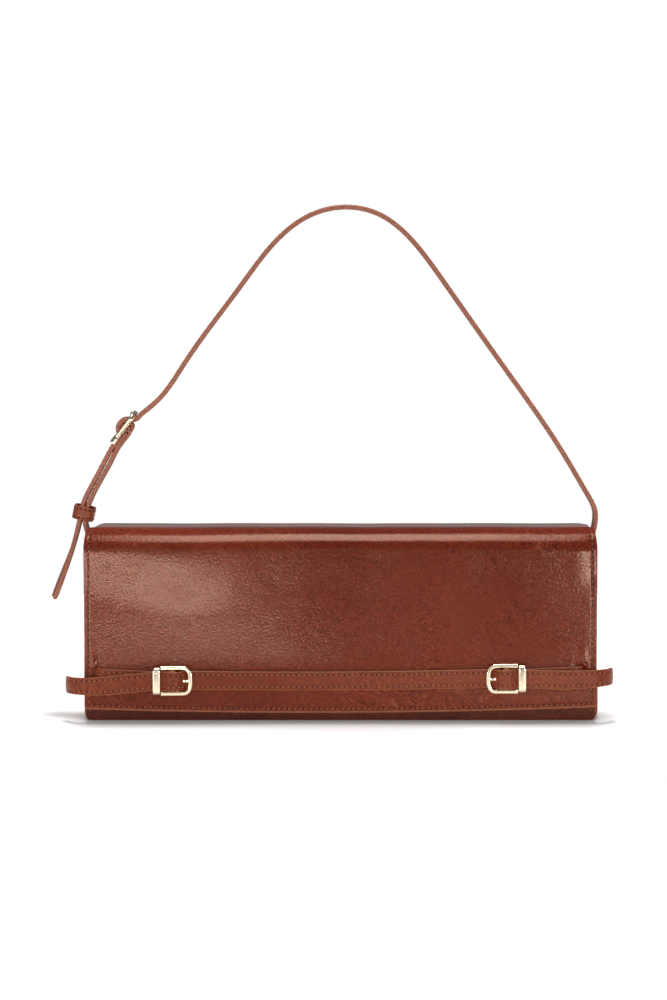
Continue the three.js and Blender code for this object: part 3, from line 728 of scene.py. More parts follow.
def flap_relief(x, s, side_gap, hem_gap):
    """How far the skin stands out: sewn grooves, the slits, the puckers over them, side edges that curl back,
    a full left shoulder, slow waves, a soft bulge on the back and a sag along the top."""
    z = TOP - ROLL - (s - SKIN_FRONT)
    groove = bell(side_gap - SIDE_INSET, GROOVE_WIDE) * ramp(hem_gap, HEM_INSET - 1 * MM, 1 * MM)
    hem_groove = bell(hem_gap - HEM_INSET, GROOVE_WIDE) * ramp(side_gap, SIDE_INSET - 1 * MM, 1 * MM)
    out = -GROOVE_DEEP * ramp(s, SKIN_ROLL, 4 * MM) * np.maximum(groove, hem_groove)

    above = z - BELT_Z - x * math.tan(BELT_TILT) - by_side(x, TAB_LIFT) - BELT_WIDTH / 2
    slit_gap = np.abs(x - BELT_SHIFT) - SLIT_X
    inside = ramp(above, 1.2 * MM, -1 * MM) * ramp(above, -BELT_WIDTH - 1.2 * MM, 1 * MM)
    out -= SLIT_DEEP * bell(slit_gap + 0.3 * MM, SLIT_WIDE) * inside
    fade = ramp(above, -2 * MM, 3 * MM) * np.exp(-np.maximum(above, 0) / (4 * MM))
    out += PUCKER_RISE * bell(slit_gap - 1.1 * MM, 1.5 * MM) * fade
    out -= PUCKER_DIP * bell(slit_gap + 2.2 * MM, 2.2 * MM) * fade

    curl = by_side(x, EDGE_CURL) * edge_fall(side_gap, 13 * MM) * ramp(z, 78 * MM, 12 * MM)
    curl = curl + by_side(x, RIM_CURL) * edge_fall(side_gap, 3.5 * MM)
    out -= curl * ramp(s, SKIN_ROLL + 8 * MM, 12 * MM) * ramp(above, 0, 12 * MM)

    reach = 26 * MM + 14 * MM * bell(x + 92 * MM, 50 * MM)
    shoulder = ramp(x, -20 * MM, -85 * MM) * ramp(s, SKIN_FRONT + reach, -42 * MM)
    out += SHOULDER_BULGE * shoulder * ramp(s, SKIN_ROLL, SKIN_QUARTER)
    wave = np.sin(x / (31 * MM) + 1.2) * np.sin(z / (26 * MM) + 0.4) + 0.6 * np.sin((x + 1.4 * z) / (23 * MM))
    out += WAVE_RISE * wave * ramp(s, SKIN_ROLL, 30 * MM) * ramp(hem_gap, 0, 25 * MM)
    out += BACK_BULGE * ramp(side_gap, 0, 60 * MM) * np.sin(math.pi * hold(s / SKIN_UP)) ** 2
    crown = ramp(s, SKIN_UP, SKIN_QUARTER) * ramp(s, SKIN_FRONT, -SKIN_QUARTER)
    ripple = 0.6 + 0.35 * np.sin(x / (19 * MM) + 0.5) + 0.25 * np.sin(x / (8.3 * MM))
    return out - TOP_SAG * crown * ramp(side_gap, 0, 25 * MM) * ripple


def corner_droop(x, s, side_gap):
    """How far the top's free side edges hang: a square law over the last 8 mm, faded out at both rolls."""
    past = s - SKIN_UP - SKIN_QUARTER
    zone = ramp(past, -14 * MM, 9 * MM) * ramp(past, 24 * MM, -10 * MM)
    return by_side(x, CORNER_DROOP) * zone * edge_fall(side_gap, 8 * MM)


def skin_place(x_share, s, depth=0.0, inset=0.0):
    """Points of the skin for shares of the half width and distances along it, and their normals.

    Distances near the hem are stretched so that each column ends on the hem's outline.
    """
    half = skin_half(s)
    x = x_share * (half - inset)
    own_end = SKIN_BASE - hem_height(x_share * FLAP_HALF) - inset
    s = s + hold((s - SKIN_END + HEM_ZONE) / HEM_ZONE) * (own_end - SKIN_END)
    y, z, normal_y, normal_z = skin_section(s, depth)
    side_gap = half - np.abs(x)
    relief = flap_relief(x, s, side_gap, own_end - s) if depth == 0 else 0
    z = z - corner_droop(x, s, side_gap)
    return stack(x, y + relief * normal_y, z + relief * normal_z), stack(0.0, normal_y, normal_z)


def bend_at_fold(piece):
    """Bakes a sheet's placement into its points."""
    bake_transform(piece)


def outer_skin():
    """The back panel and the flap as one hide, with rows close together where it bends and at its ends."""
    rows = stretches([0, 9 * MM, SKIN_UP, SKIN_FRONT, SKIN_END - HEM_ZONE, SKIN_END - 9 * MM, SKIN_END],
                     [15, 32, 60, 34, 30, 30])
    share, s = np.meshgrid(edge_steps(FLAP_HALF) / FLAP_HALF, rows)
    skin = sheet_piece("back_and_flap_hide", skin_place(share, s)[0], [PANEL_HIDE, EDGE], LEATHER, 0.4 * MM,
                       flip=True, band=HEM_BAND)
    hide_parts("back_panel", "flap_leather")
    bend_at_fold(skin)


def side_rows(s):
    """A row of stitches along each side of the skin."""
    return [skin_place(side * (1 - SIDE_INSET / skin_half(s)), s) for _, side in SIDES]


def skin_stitching():
    """Rows down the flap's sides, along its hem and round the back panel, which is sewn to the gussets."""
    down = np.linspace(SKIN_ROLL + 2 * MM, SKIN_END - HEM_INSET - 0.5 * MM, 260)
    sew("flap_side_stitches", side_rows(down), "flap", STITCHING, sunk=1.05)
    share = np.linspace(-1, 1, 400) * (1 - SIDE_INSET / FLAP_HALF)
    sew("flap_hem_stitches", [skin_place(share, SKIN_END - HEM_INSET)], "flap", LIGHT_STITCHING)
    up = np.linspace(SIDE_INSET + 1 * MM, SKIN_UP, 160)
    share = np.linspace(-1, 1, 300) * (1 - SIDE_INSET / BODY_HALF)
    sew("back_stitches", side_rows(up) + [skin_place(share, SIDE_INSET)], "bag", STITCHING)


def flap_lining():
    """The cloth under the flap, from above the back board over the fold and down to just inside the hem."""
    inset = 1 * MM
    start = FRONT_TOP - 1 * MM
    rows = stretches([start, SKIN_FRONT, SKIN_END], [60, 39])
    share, s = np.meshgrid(edge_steps(FLAP_HALF, 0.8 * MM, 8 * MM, 4 * MM) / FLAP_HALF, rows)
    points, _ = skin_place(share, s, LEATHER + GAP, inset)
    cloth = sheet_piece("flap_lining_cloth", points, [WEAVE, WEAVE], CLOTH, 0.12 * MM, flip=True)
    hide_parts("flap_lining")
    bend_at_fold(cloth)


# Body under the flap

def front_panel():
    """The front wall: a flat hide with round lower corners, sewn along its top and sides."""
    x, z = np.meshgrid(edge_steps(BODY_HALF, 0.5 * MM, 9 * MM, 3 * MM) / BODY_HALF,
                       stretches([0, 30 * MM, FRONT_TOP], [40, 35]))
    half = body_half(z)
    x = x * half
    turned_back = 0.7 * MM * edge_fall(half - np.abs(x), 4 * MM)
    # The front wall takes the darker copy of the hide: painted shade under the flap.
    panel = sheet_piece("front_hide", stack(x, FRONT_FACE + turned_back, z), [SHADED_BODY_HIDE, BODY_EDGE], LEATHER,
                        0.45 * MM)
    dress(panel, "bag", "leather", "front_panel")

    out = (0.0, -1.0, 0.0)
    across = np.linspace(SIDE_INSET - BODY_HALF, BODY_HALF - SIDE_INSET, 300)
    up = np.linspace(FOOT_TALL, FRONT_TOP - 2 * SIDE_INSET, 120)
    rows = [(stack(across, FRONT_FACE, FRONT_TOP - SIDE_INSET), out)]
    rows += [(stack(side * (body_half(up) - SIDE_INSET), FRONT_FACE, up), out) for _, side in SIDES]
    sew("front_stitches", rows, "bag", STITCHING)


def gusset_swell(y, z, side):
    """How far a soft side stands out: 1 - y^4 across it, drawn in half way up and bulging low down.

    The bulge turns in at the foot as a quarter ellipse.
    """
    across = 1 - (y / gusset_high[1]) ** 4
    up = hold((z - SWELL_LOW) / (FRONT_TOP - 24 * MM - SWELL_LOW))
    low = low_swell(z) * np.sqrt(1 - hold(1 - z / FOOT_TALL) ** 2)
    return across * (SIDE_BULGE[side] * low - SIDE_HOLLOW * np.sin(math.pi * up) ** 2)


def gussets():
    """The two soft sides: down the swelling wall, round the foot's narrow ellipse and in along the base."""
    arc_z = FOOT_TALL * (1 - np.sin(np.linspace(0, QUARTER, 14)))
    wall_z = np.append(np.linspace(FRONT_TOP, FOOT_TALL, 46, endpoint=False), arc_z)
    foot_x = np.linspace(body_half(0.0), gusset_high[0] - FOOT_TALL - GUSSET_FOOT, 12)[1:]
    x = np.append(body_half(wall_z), foot_x)[:, None]
    z = np.append(wall_z, np.zeros(len(foot_x)))[:, None]
    y = np.linspace(gusset_low[1], gusset_high[1], 30)
    for word, side in SIDES:
        grid = stack(side * (x + gusset_swell(y, z, side)), y, z)
        # The sides take the lighter copy of the hide: painted light.
        hide = sheet_piece(f"{word}_side_hide", grid, [SIDE_HIDE_PAINTED_LIGHT, BODY_EDGE], LEATHER, 0.3 * MM,
                           flip=side > 0)
        dress(hide, "bag", "leather", f"{word}_gusset")


def base_panel():
    """The flat base hide between the feet of the two sides."""
    low, high = box("base_panel")
    x, y = np.meshgrid(np.linspace(low[0], high[0], 60), np.linspace(low[1], high[1], 14))
    # The base takes the darker copy of the hide: painted shade under the bag.
    hide = sheet_piece("base_hide", stack(x, y, 0.0), [SHADED_BODY_HIDE, BODY_EDGE], LEATHER, 0.25 * MM, flip=True)
    dress(hide, "bag", "leather", "base_panel")


def rounded_ring(side_count, corner_count):
    """Once round a box with round corners: places on its core from -1 to 1, and the ways out there."""
    core, way = [], []
    signs = np.array([(1, 1), (-1, 1), (-1, -1), (1, -1)], dtype=float)
    share = np.linspace(0, 1, side_count + 2)[1:-1, None]
    for corner in range(4):
        turn = np.linspace(0, QUARTER, corner_count) + corner * QUARTER
        after = signs[(corner + 1) % 4]
        core += [np.tile(signs[corner], (corner_count, 1)), signs[corner] * (1 - share) + after * share]
        round_way = stack(np.cos(turn), np.sin(turn))
        way += [round_way, np.tile(round_way[-1], (side_count, 1))]
    return np.concatenate(core), np.concatenate(way)


def lining():
    """The sewn inner bag: round boxes from a turned rim down the walls and over the floor.

    Each ring is moved in by its own amount; its corner radius shrinks by the same amount down to a small one.
    """
    core, way = rounded_ring(50, 6)
    half = lining_high[:2]
    drop = lining_high[2] - lining_low[2]
    bend, corner, small = 3.5 * MM, 3 * MM, 0.2 * MM
    turn = np.linspace(0, QUARTER, 7)[1:]
    rim = np.array([(1.2, -0.35), (1.2, 0.2), (0.7, 0.75), (0.2, 0.5), (0, 0), (0, -2)]) * MM
    inset = np.concatenate([rim[:, 0], np.zeros(36), bend * (1 - np.cos(turn)),
                            np.linspace(5 * MM, half[1] - 1 * MM, 8)])[:, None, None]
    height = np.concatenate([rim[:, 1], -np.linspace(5 * MM, drop - bend, 36),
                             -drop + bend * (1 - np.sin(turn)), np.full(8, -drop)])
    z = lining_high[2] + height[:, None] + np.zeros(len(core))
    radius = np.maximum(corner - inset, small)
    flat = core * np.maximum(half - inset - radius, 0) + way * radius
    x, y = flat[..., 0], flat[..., 1]
    near_end = ramp(np.abs(x), half[0] - 9 * MM, 4 * MM)
    grid = stack(x - np.sign(x) * near_end * np.maximum(-gusset_swell(y, z, 1), 0), y, z)
    cloth = new_piece("inner_lining", grid, grid_quads(*grid.shape[:2], wrap=True).tolist(), [WEAVE])
    wall = cloth.modifiers.new("wall", "SOLIDIFY")
    wall.thickness = CLOTH
    wall.offset = 1
    dress(cloth, "bag", "lining_cloth", "lining")


def boards():
    """The stiffening boards keep their solids and get a pressed-board finish."""
    for node in ("front_board", "back_board", "base_board"):
        refinish(node, BOARD)


# Fittings turned on a lathe

# Radius of the small flat cap at the middle of a turned piece
TURNED_TIP = 0.02 * MM


def lathe(centre, axis, profile, sides=40):
    """Rings of a turned piece: each profile point is a radius and a height along the axis from the centre."""
    first = np.cross(axis, (0.0, 0.0, 1.0))
    second = np.cross(axis, first)
    turn = circle(sides)[:, None]
    spoke = np.cos(turn) * first + np.sin(turn) * second
    radius, height = np.asarray(profile).T[:, :, None, None]
    return np.asarray(centre) + height * np.asarray(axis, dtype=float) + radius * spoke


def dome(radius, start, rise, steps=7):
    """Profile of a shallow dome from its rim to its middle: height follows sqrt(1 - share^2)."""
    share = np.cos(np.linspace(0, QUARTER, steps))
    share[-1] = 0.02
    return [(radius * k, start + rise * math.sqrt(max(1 - k * k, 0))) for k in share]


def rivets():
    """Domed rivets through the strap's ends, and their washers inside the bag."""
    shank = 1.4 * MM
    for word, side in SIDES:
        low, high = box(f"{word}_strap_rivet")
        inner, outer = sorted([abs(low[0]), abs(high[0])])
        radius = (high[1] - low[1]) / 2
        head = outer - 1.2 * MM
        profile = [(TURNED_TIP, inner), (shank, inner), (shank, head), (radius - 0.3 * MM, head),
                   (radius, head + 0.25 * MM)] + dome(radius - 0.05 * MM, head + 0.4 * MM, 0.8 * MM)
        rings = lathe((0, STRAP_Y, PIVOT_Z), (side, 0, 0), profile)
        dress(tube_piece(f"{word}_domed_rivet", rings, [GOLD]), "bag", "gold_metal", f"{word}_strap_rivet")
        refinish(f"{word}_rivet_washer", STEEL)


def snaps():
    """Both halves of each hidden snap: a flat plate with a rolled rim and a round seat in the middle."""
    for word, _ in SIDES:
        for half, body, out in (("front", "bag", -1), ("flap", "flap", 1)):
            node = f"{word}_{half}_snap"
            low, high = box(node)
            thick = high[1] - low[1]
            radius = (high[0] - low[0]) / 2
            centre = (low + high) / 2 - (0, out * thick / 2, 0)
            rim = [(radius - 0.2 * MM, 0), (radius, 0.25 * MM), (radius, thick - 0.3 * MM),
                   (radius - 0.35 * MM, thick), (radius - 1.2 * MM, thick),
                   (radius - 1.6 * MM, thick - 0.4 * MM)]
            seat = [(radius * 0.5, thick - 0.4 * MM), (radius * 0.46, thick - 0.05 * MM),
                    (radius * 0.3, thick - 0.05 * MM), (radius * 0.26, thick - 0.5 * MM),
                    (TURNED_TIP, thick - 0.5 * MM)]
            rings = lathe(centre, (0, out, 0), [(TURNED_TIP, 0)] + rim + seat, 48)
            dress(tube_piece(f"{node}_plate", rings, [STEEL]), body, "plated_steel", node)


# Straps: a rounded, sewn section carried along a line

STRAP_STEP = PITCH / 6
FACE_POINTS = 27
EDGE_POINTS = 9
# Material numbers round a strap's section: 1 on the rounded edges and 0 on the two faces
EDGE_FACES = np.tile([0] * FACE_POINTS + [1] * (EDGE_POINTS - 1) + [0], 2)


def strap_section(width, thick, row, crown=0.12 * MM):
    """Closed section of a sewn strap as across and up: flat faces with a low crown, a groove under each row
    of stitches, quarter-round corners and a fine notch between the two layers at each edge."""
    side, half = width / 2, thick / 2
    corner = min(0.42 * thick, 0.8 * MM)
    flat = np.linspace(corner - side, side - corner, FACE_POINTS)
    rise = crown * (1 - (flat / side) ** 2)
    dip = 0.16 * MM * bell(np.abs(flat) - (side - row), 0.45 * MM)
    over = stack(flat, half + rise - dip)
    under = stack(flat[::-1], -half - rise * 0.5 + dip)
    turn = np.linspace(0, QUARTER, (EDGE_POINTS + 1) // 2)
    corner_up = stack(side - corner + corner * np.sin(turn), half - corner + corner * np.cos(turn))
    corner_down = corner_up[::-1] * (1, -1)
    right = np.concatenate([corner_up[1:], [[side - 0.14 * MM, 0.0]], corner_down[:-1]])
    return np.concatenate([over, right, under, (right * (-1, 1))[::-1]])


def carry(line, side, out, section, run, row, tips, width_share, swell, under):
    """The section carried along a line. side and out are the directions across and up at each point.

    Needle holes pull the faces in near the edges, by (1 + cos(2 pi run / pitch)) / 2 of NEEDLE_PULL. A tip
    of length t narrows the section by TIP_NARROW times 1 - sqrt(1 - (1 - d / t)^2) at d from the end, so that
    its corners are round, and the last stretch of half the thickness rounds its faces over in the same way.
    swell lifts the middle of the section as a bell curve, and under thickens its inner face.
    """
    across, up = section.T[:, None]
    half, nose = section.max(axis=0)
    near_edge = ramp(np.abs(across), half - row - 0.8 * MM, 0.8 * MM)
    pinch = NEEDLE_PULL * 0.5 * (1 + np.cos(2 * math.pi * run / PITCH))[:, None] * near_edge
    up = up - np.sign(up) * pinch
    across = across - np.sign(across) * 0.5 * pinch
    for length, from_end in ((tips[0], run[:, None]), (tips[1], (run[-1] - run)[:, None])):
        if length:
            width_share = width_share * (1 - TIP_NARROW * (1 - np.sqrt(1 - hold(1 - from_end / length) ** 2)))
            up = up * np.sqrt(1 - np.clip(1 - from_end / nose, 0, 0.95) ** 2)
    across = across * width_share
    up = np.where(up < 0, up * under, up) + swell * bell(across, 2.6 * MM)
    return line[:, None] + across[..., None] * side[:, None] + up[..., None] * out[:, None]


def strap_piece(name, body, node, line, side, width, thick, materials, tips=(0.0, 0.0), ends=(0.0, 0.0),
                swell=0.0, width_share=1.0, under=1.0):
    """A strap along a line. Gives the rows of stitches on its two faces, which stop short of its ends."""
    run = lengths(line)
    shares = (swell, width_share, under)
    swell, width_share, under = (np.broadcast_to(share, run.shape)[:, None] for share in shares)
    side = np.broadcast_to(side, line.shape)
    out = unit(np.cross(directions(line), side))
    section = strap_section(width, thick, BELT_ROW)
    rings = carry(line, side, out, section, run, BELT_ROW, tips, width_share, swell, under)
    index = np.append(np.tile(EDGE_FACES, len(line) - 1), [1, 1])
    dress(tube_piece(name, rings, materials, index), body, "leather", node)
    keep = (run >= ends[0]) & (run <= run[-1] - ends[1])
    across = (width / 2 - BELT_ROW) * width_share * side
    height = thick / 2 - 0.08 * MM
    rows = []
    for face, level in ((out, height), (-out, height * under)):
        rows += [((line + way * across + level * face)[keep], face[keep]) for way in (-1, 1)]
    return rows


def thread_heights(x, thick, frame_thick=FRAME_THICK, under=KEEPER_UNDER, foot=HUMP_FOOT):
    """Height of a threaded strap over the pin's axis at x along the buckle: under the curved bar, over the
    pin and under the keeper bar, joined by smooth steps. foot is where it starts to rise."""
    bar = -(frame_thick / 2 + SLIP + thick / 2)
    hump = EYE_RADIUS + GAP + thick / 2
    keeper = under - SLIP - thick / 2
    rise = ramp(x, foot, HUMP_START - foot)
    fall = ramp(x, -HUMP_END, HUMP_END + SLIP - KEEPER_INNER)
    return bar + (hump - bar) * rise + (keeper - hump) * fall


def tilt_belt(points):
    """Points of the belt's own level frame turned by its tilt and lifted to its height."""
    x, y, z = np.moveaxis(points, -1, 0)
    cosine, sine = math.cos(BELT_TILT), math.sin(BELT_TILT)
    return stack(BELT_SHIFT + x * cosine - z * sine, y, BELT_Z + x * sine + z * cosine)


def belt_line():
    """The belt's middle line: threaded through both buckles, then each tail turned back round the side."""
    x = np.arange(0, TAIL_REACH, 0.4 * MM)
    height = thread_heights(PIN_X - x, BELT_THICK)
    turn = np.linspace(0, TAIL_TURN, 40)
    x = np.append(x, TAIL_REACH + TAIL_RADIUS * np.sin(turn))
    height = np.append(height, height[-1] - TAIL_RADIUS * (1 - np.cos(turn)))
    right = stack(x, PIN_Y - height, 0.0)
    left = right[:0:-1] * (-1, 1, 1)
    left[:, 2] -= LEFT_DROOP * ramp(-left[:, 0], PIN_X + 4 * MM, 46 * MM)
    right[:, 2] -= RIGHT_DROOP * np.sin(math.pi * hold((right[:, 0] - PIN_X - 8 * MM) / (54 * MM))) ** 2
    line = np.concatenate([left, right])
    line[:, 2] -= BELT_SAG * hold(1 - (line[:, 0] / (PIN_X - 10 * MM)) ** 2)
    return soften(resample(line, STRAP_STEP), 3)


def front_belt():
    """The belt, its stitches and the two tabs under its tails."""
    line = tilt_belt(belt_line())
    swell = PRONG_SWELL * bell(np.abs(line[:, 0] - BELT_SHIFT) - (PIN_X - PRONG_HOLE), 1.5 * MM)
    up = np.array([-math.sin(BELT_TILT), 0.0, math.cos(BELT_TILT)])
    taper = 1 - TAIL_TAPER * ramp(np.abs(line[:, 0]), SLIT_X - 12 * MM, 30 * MM)
    finish = [STRAP_HIDE, BELT_EDGE]
    rows = strap_piece("front_belt", "flap", "belt", line, up, BELT_WIDTH, BELT_THICK, finish,
                       tips=(3.5 * MM, 3.5 * MM), ends=(10 * MM, 10 * MM), swell=swell, width_share=taper)
    sew("belt_stitches", rows[:2], "flap", LIGHT_STITCHING)

    level = FLAP_FRONT - GAP - TAB_THICK / 2
    slit = SLIT_X - 0.6 * MM
    route = [(slit, FLAP_FRONT + 0.6 * MM), (slit - 0.3 * MM, FLAP_FRONT - 0.2 * MM),
             (slit - 1.5 * MM, level + 0.2 * MM), (slit - 4 * MM, level), (PIN_X + 9 * MM, level),
             (PIN_X + 4 * MM, level - 0.6 * MM), (PIN_X + 1.2 * MM, PIN_Y)]
    x, y = spline(route, STRAP_STEP).T
    lift = hold((x - PIN_X - 10 * MM) / (slit - PIN_X - 10 * MM))
    for word, side in SIDES:
        line = tilt_belt(stack(side * x, y, TAB_LIFT[side] * lift))
        rows = strap_piece(f"{word}_buckle_tab", "flap", f"{word}_belt_tab", line, -side * up, BELT_WIDTH,
                           TAB_THICK, [STRAP_HIDE, EDGE], ends=(3 * MM, 12 * MM))
        sew(f"{word}_tab_stitches", rows[:2], "flap", LIGHT_STITCHING)


# Buckles, each in its own frame: along the strap, across it and out of its face

def rounded_box(half_wide, half_tall, power, count=28):
    """Section of a bar with soft corners: the superellipse |x / a|^n + |y / b|^n = 1."""
    cosine, sine = np.cos(circle(count)), np.sin(circle(count))
    size = (np.abs(cosine) ** power + np.abs(sine) ** power) ** (-1 / power)
    return stack(half_wide * size * cosine, half_tall * size * sine)


def bar_rings(line, up, section):
    """A bar's section carried along a line, with up as its upright direction."""
    up = np.broadcast_to(up, line.shape)
    across = unit(np.cross(directions(line), up))
    return line[:, None] + section[:, :1] * across[:, None] + section[:, 1:] * up[:, None]


def frame_rings(thick):
    """The buckle's bow as one bar: straight arms joined by half a squared ellipse.

    The ellipse is |x|^n + |y|^n = 1 with n 2.8.
    """
    square = 2 / 2.8
    turn = np.linspace(-QUARTER, QUARTER, 240)
    reach = CURVE_REACH - CURVE_BAR / 2 - CURVE_START
    curve_x = CURVE_START + reach * np.maximum(np.cos(turn), 0) ** square
    curve_y = ARM_MIDDLE * np.sign(turn) * np.abs(np.sin(turn)) ** square
    x = np.concatenate([[-ARM_END], curve_x, [-ARM_END]])
    y = np.concatenate([[-ARM_MIDDLE], curve_y, [ARM_MIDDLE]])
    line = resample(stack(x, y, 0.0), 0.4 * MM)
    return bar_rings(line, (0.0, 0.0, 1.0), rounded_box(ARM_WIDE / 2, thick / 2, 4.5))


def keeper_rings(thick, under):
    """The keeper bar: a flat staple that rises from the ends of the arms and bridges the strap."""
    level = under + KEEPER_THICK / 2
    bend = min(1.6 * MM, level + thick / 4)
    turn = np.linspace(0, QUARTER, 10)
    leg = np.linspace(-thick / 2, level - bend, 6, endpoint=False)
    across = np.linspace(ARM_MIDDLE - bend, bend - ARM_MIDDLE, 16)[1:-1]
    side_y = np.append(np.full(len(leg), ARM_MIDDLE), ARM_MIDDLE - bend + bend * np.cos(turn))
    side_z = np.append(leg, level - bend + bend * np.sin(turn))
    y = np.concatenate([side_y, across, -side_y[::-1]])
    z = np.concatenate([side_z, np.full(len(across), level), side_z[::-1]])
    line = stack(-(KEEPER_INNER + KEEPER_BAR / 2), y, z)
    up = np.cross((1.0, 0.0, 0.0), directions(line))
    return bar_rings(line, up, rounded_box(KEEPER_BAR / 2, KEEPER_THICK / 2, 6.0))


def prong_rings(thick):
    """The prong: round at its ring, thin through the strap, and narrowed where it lies on the curved bar."""
    rest = thick / 2 + 0.7 * MM
    ring = [(-1.1, -0.8), (-1.35, 0.3), (-0.6, 1.25), (0.6, 1.4), (3, 1.0), (5.5, 0.7), (7.5, 0.95)]
    route = [*(np.array(ring) * MM), (CURVE_REACH - CURVE_BAR + 0.2 * MM, rest),
             (CURVE_REACH - 1.1 * MM, rest - 0.1 * MM)]
    x, z = spline(route, 0.4 * MM).T
    line = stack(x, 0.0, z)
    run = lengths(line)[:, None, None]
    up = np.cross(directions(line), (0.0, 1.0, 0.0))
    rings = bar_rings(line, up, rounded_box(*PRONG_HALF, 3.0, 20))
    return line[:, None] + (rings - line[:, None]) * (1.0 - 0.45 * ramp(run / run[-1], 0.72, 0.28))


def buckle(word, placed, body, prong_body, thick, under):
    """A buckle's four pieces, put in place by the function placed.

    thick is the bow's thickness and under is the height at which the bridge starts.
    """
    bar_half = ARM_INNER + 0.6 * MM
    bar_line = stack(0.0, np.linspace(-bar_half, bar_half, 8), 0.0)
    bar = bar_rings(bar_line, (0.0, 0.0, 1.0), rounded_box(PIN_RADIUS, PIN_RADIUS, 2.0, 20))
    made = [
        ("bow", frame_rings(thick), body, "frame"),
        ("bridge", keeper_rings(thick, under), body, "keeper"),
        ("bar", bar, body, "pin"),
        ("tongue", prong_rings(thick), prong_body, "prong"),
    ]
    for part, rings, carrier, node in made:
        piece = tube_piece(f"{word}_buckle_{part}", placed(rings), [GOLD])
        dress(piece, carrier, "gold_metal", f"{word}_buckle_{node}")


def eye_bands(name, route, thick, placed, body):
    """A strap's end round a pin, split by a slot for the prong: a flat band on each side, along a route."""
    x, z = spline(np.array(route) * MM, 0.35 * MM).T
    inner, outer = EYE_SLOT, ARM_INNER - 0.2 * MM
    section = rounded_box((outer - inner) / 2, thick / 2, 6.0, 24)
    rings = []
    for _, side in SIDES:
        line = stack(x, side * (inner + outer) / 2, z)
        up = np.cross(directions(line), (0.0, 1.0, 0.0))
        rings.append(placed(bar_rings(line, up, section)))
    dress(tube_piece(name, np.concatenate(rings), [STRAP_EDGE], count=2), body, "leather")


def buckle_place(pin, along, out, turn=lambda points: points):
    """A function that puts a buckle's own points, along, across and out, into the frame."""
    axes = np.stack([along, np.cross(out, along), out])
    return lambda rings: turn(np.asarray(pin) + rings @ axes)


# Routes of the straps' ends round the pins, along and out of the buckle in millimetres
TAB_EYE = [(-6, -1.6), (-3.2, -1.5), (-1.2, -1.45), (0.6, -1.3), (1.45, 0), (0.9, 1.15), (-0.4, 1.4),
           (-1.5, 0.5), (-2.6, -0.6), (-5, -1.2)]
STRAP_EYE = [(-9, -4.6), (-3, -4.8), (1.2, -4.6), (3.5, -3.8), (4.2, -2.6), (3.3, -1.1), (1.8, 0.5),
             (0.5, 1.35), (-1.0, 1.05), (-1.6, 0), (-0.9, -1.5), (-0.4, -2.8), (1.0, -3.1), (1.8, -2.2),
             (0.9, -1.4)]


def front_buckles():
    """The two buckles on the flap and the tabs' ends round their pins."""
    for word, side in SIDES:
        placed = buckle_place((side * PIN_X, PIN_Y, 0), (-side, 0, 0), (0, -1, 0), tilt_belt)
        buckle(word, placed, "flap", f"{word}_prong", FRAME_THICK, KEEPER_UNDER)
        eye_bands(f"{word}_tab_eye", TAB_EYE, 1.1 * MM, placed, "flap")


# Shoulder strap, laid out in its own upright plane

# Places near a rivet: out from the strap's foot and up from the rivet, in millimetres
RIGHT_FOOT = [(0, -7), (0, 0), (0, 6), (2.6, 20)]
LEFT_FOOT = [(0.8, 13), (0, 6), (0, 0), (0, -7)]
# Places on the arch, in shares of its half width and of its rise
ARCH = [(1.02, 0.14), (0.992, 0.183), (0.897, 0.297), (0.648, 0.553), (0.393, 0.808), (0.267, 0.92),
        (0.153, 0.98), (0.018, 1), (-0.121, 0.977), (-0.235, 0.92), (-0.395, 0.78), (-0.628, 0.553)]
# Places of both strands above the loop and of the free tail below it, in millimetres
LONG_STRAND = [(-143.9, 152.4), (-150.9, 139.5)]
SHORT_STRAND = [(-139.7, 153.1), (-145.3, 143.0)]
FREE_TAIL = [(-160.5, 109.8), (-164.2, 97.6), (-168.7, 85.7), (-175.0, 69.3)]


def near_foot(side, places):
    """Places near one side's rivet, in the strap's plane."""
    return np.array(places) * (side * MM, MM) + (side * FOOT_X, PIVOT_Z)


def in_buckle(x, height):
    """A place in the strap's buckle, along it and out of its face."""
    return STRAP_PIN[[0, 2]] + np.multiply.outer(x, STRAP_LEAN) + np.multiply.outer(height, STRAP_OUT)


def through_loop(across):
    """Where a strand enters and leaves the sliding loop, at a distance across it towards the bag."""
    return [LOOP_CENTRE + way * LOOP_HEIGHT / 2 * LOOP_LEAN + across * LOOP_ACROSS for way in (1, -1)]


def upright(flat):
    """Points of the strap's plane set at the strap's distance from the front."""
    return stack(flat[:, 0], STRAP_Y, flat[:, 1])


def long_strap_line():
    """Up from the right rivet, over the crown, through the buckle and the loop, to the free tail."""
    threads = (STRAP_THICK, STRAP_FRAME_THICK, STRAP_KEEPER_UNDER, STRAP_HUMP_FOOT)
    bar = thread_heights(CURVE_REACH, *threads)
    keeper = thread_heights(-KEEPER_INNER, *threads)
    arch = [*near_foot(1, RIGHT_FOOT), *(np.array(ARCH) * (FOOT_X, CROWN_RISE) + (0, PIVOT_Z)),
            in_buckle(26.7 * MM, bar - 3.2 * MM), in_buckle(CURVE_REACH, bar)]
    x = np.arange(STRAP_HUMP_FOOT, -KEEPER_INNER, -0.4 * MM)
    threaded = in_buckle(x, thread_heights(x, *threads))
    tail = [in_buckle(-KEEPER_INNER, keeper), in_buckle(-KEEPER_INNER - KEEPER_BAR, keeper),
            *(np.array(LONG_STRAND) * MM), *through_loop(-STRAND_HALF), *(np.array(FREE_TAIL) * MM)]
    joined = np.concatenate([spline(arch, 1 * MM), threaded, spline(tail, 1 * MM)])
    return upright(soften(resample(joined, STRAP_STEP), 4))


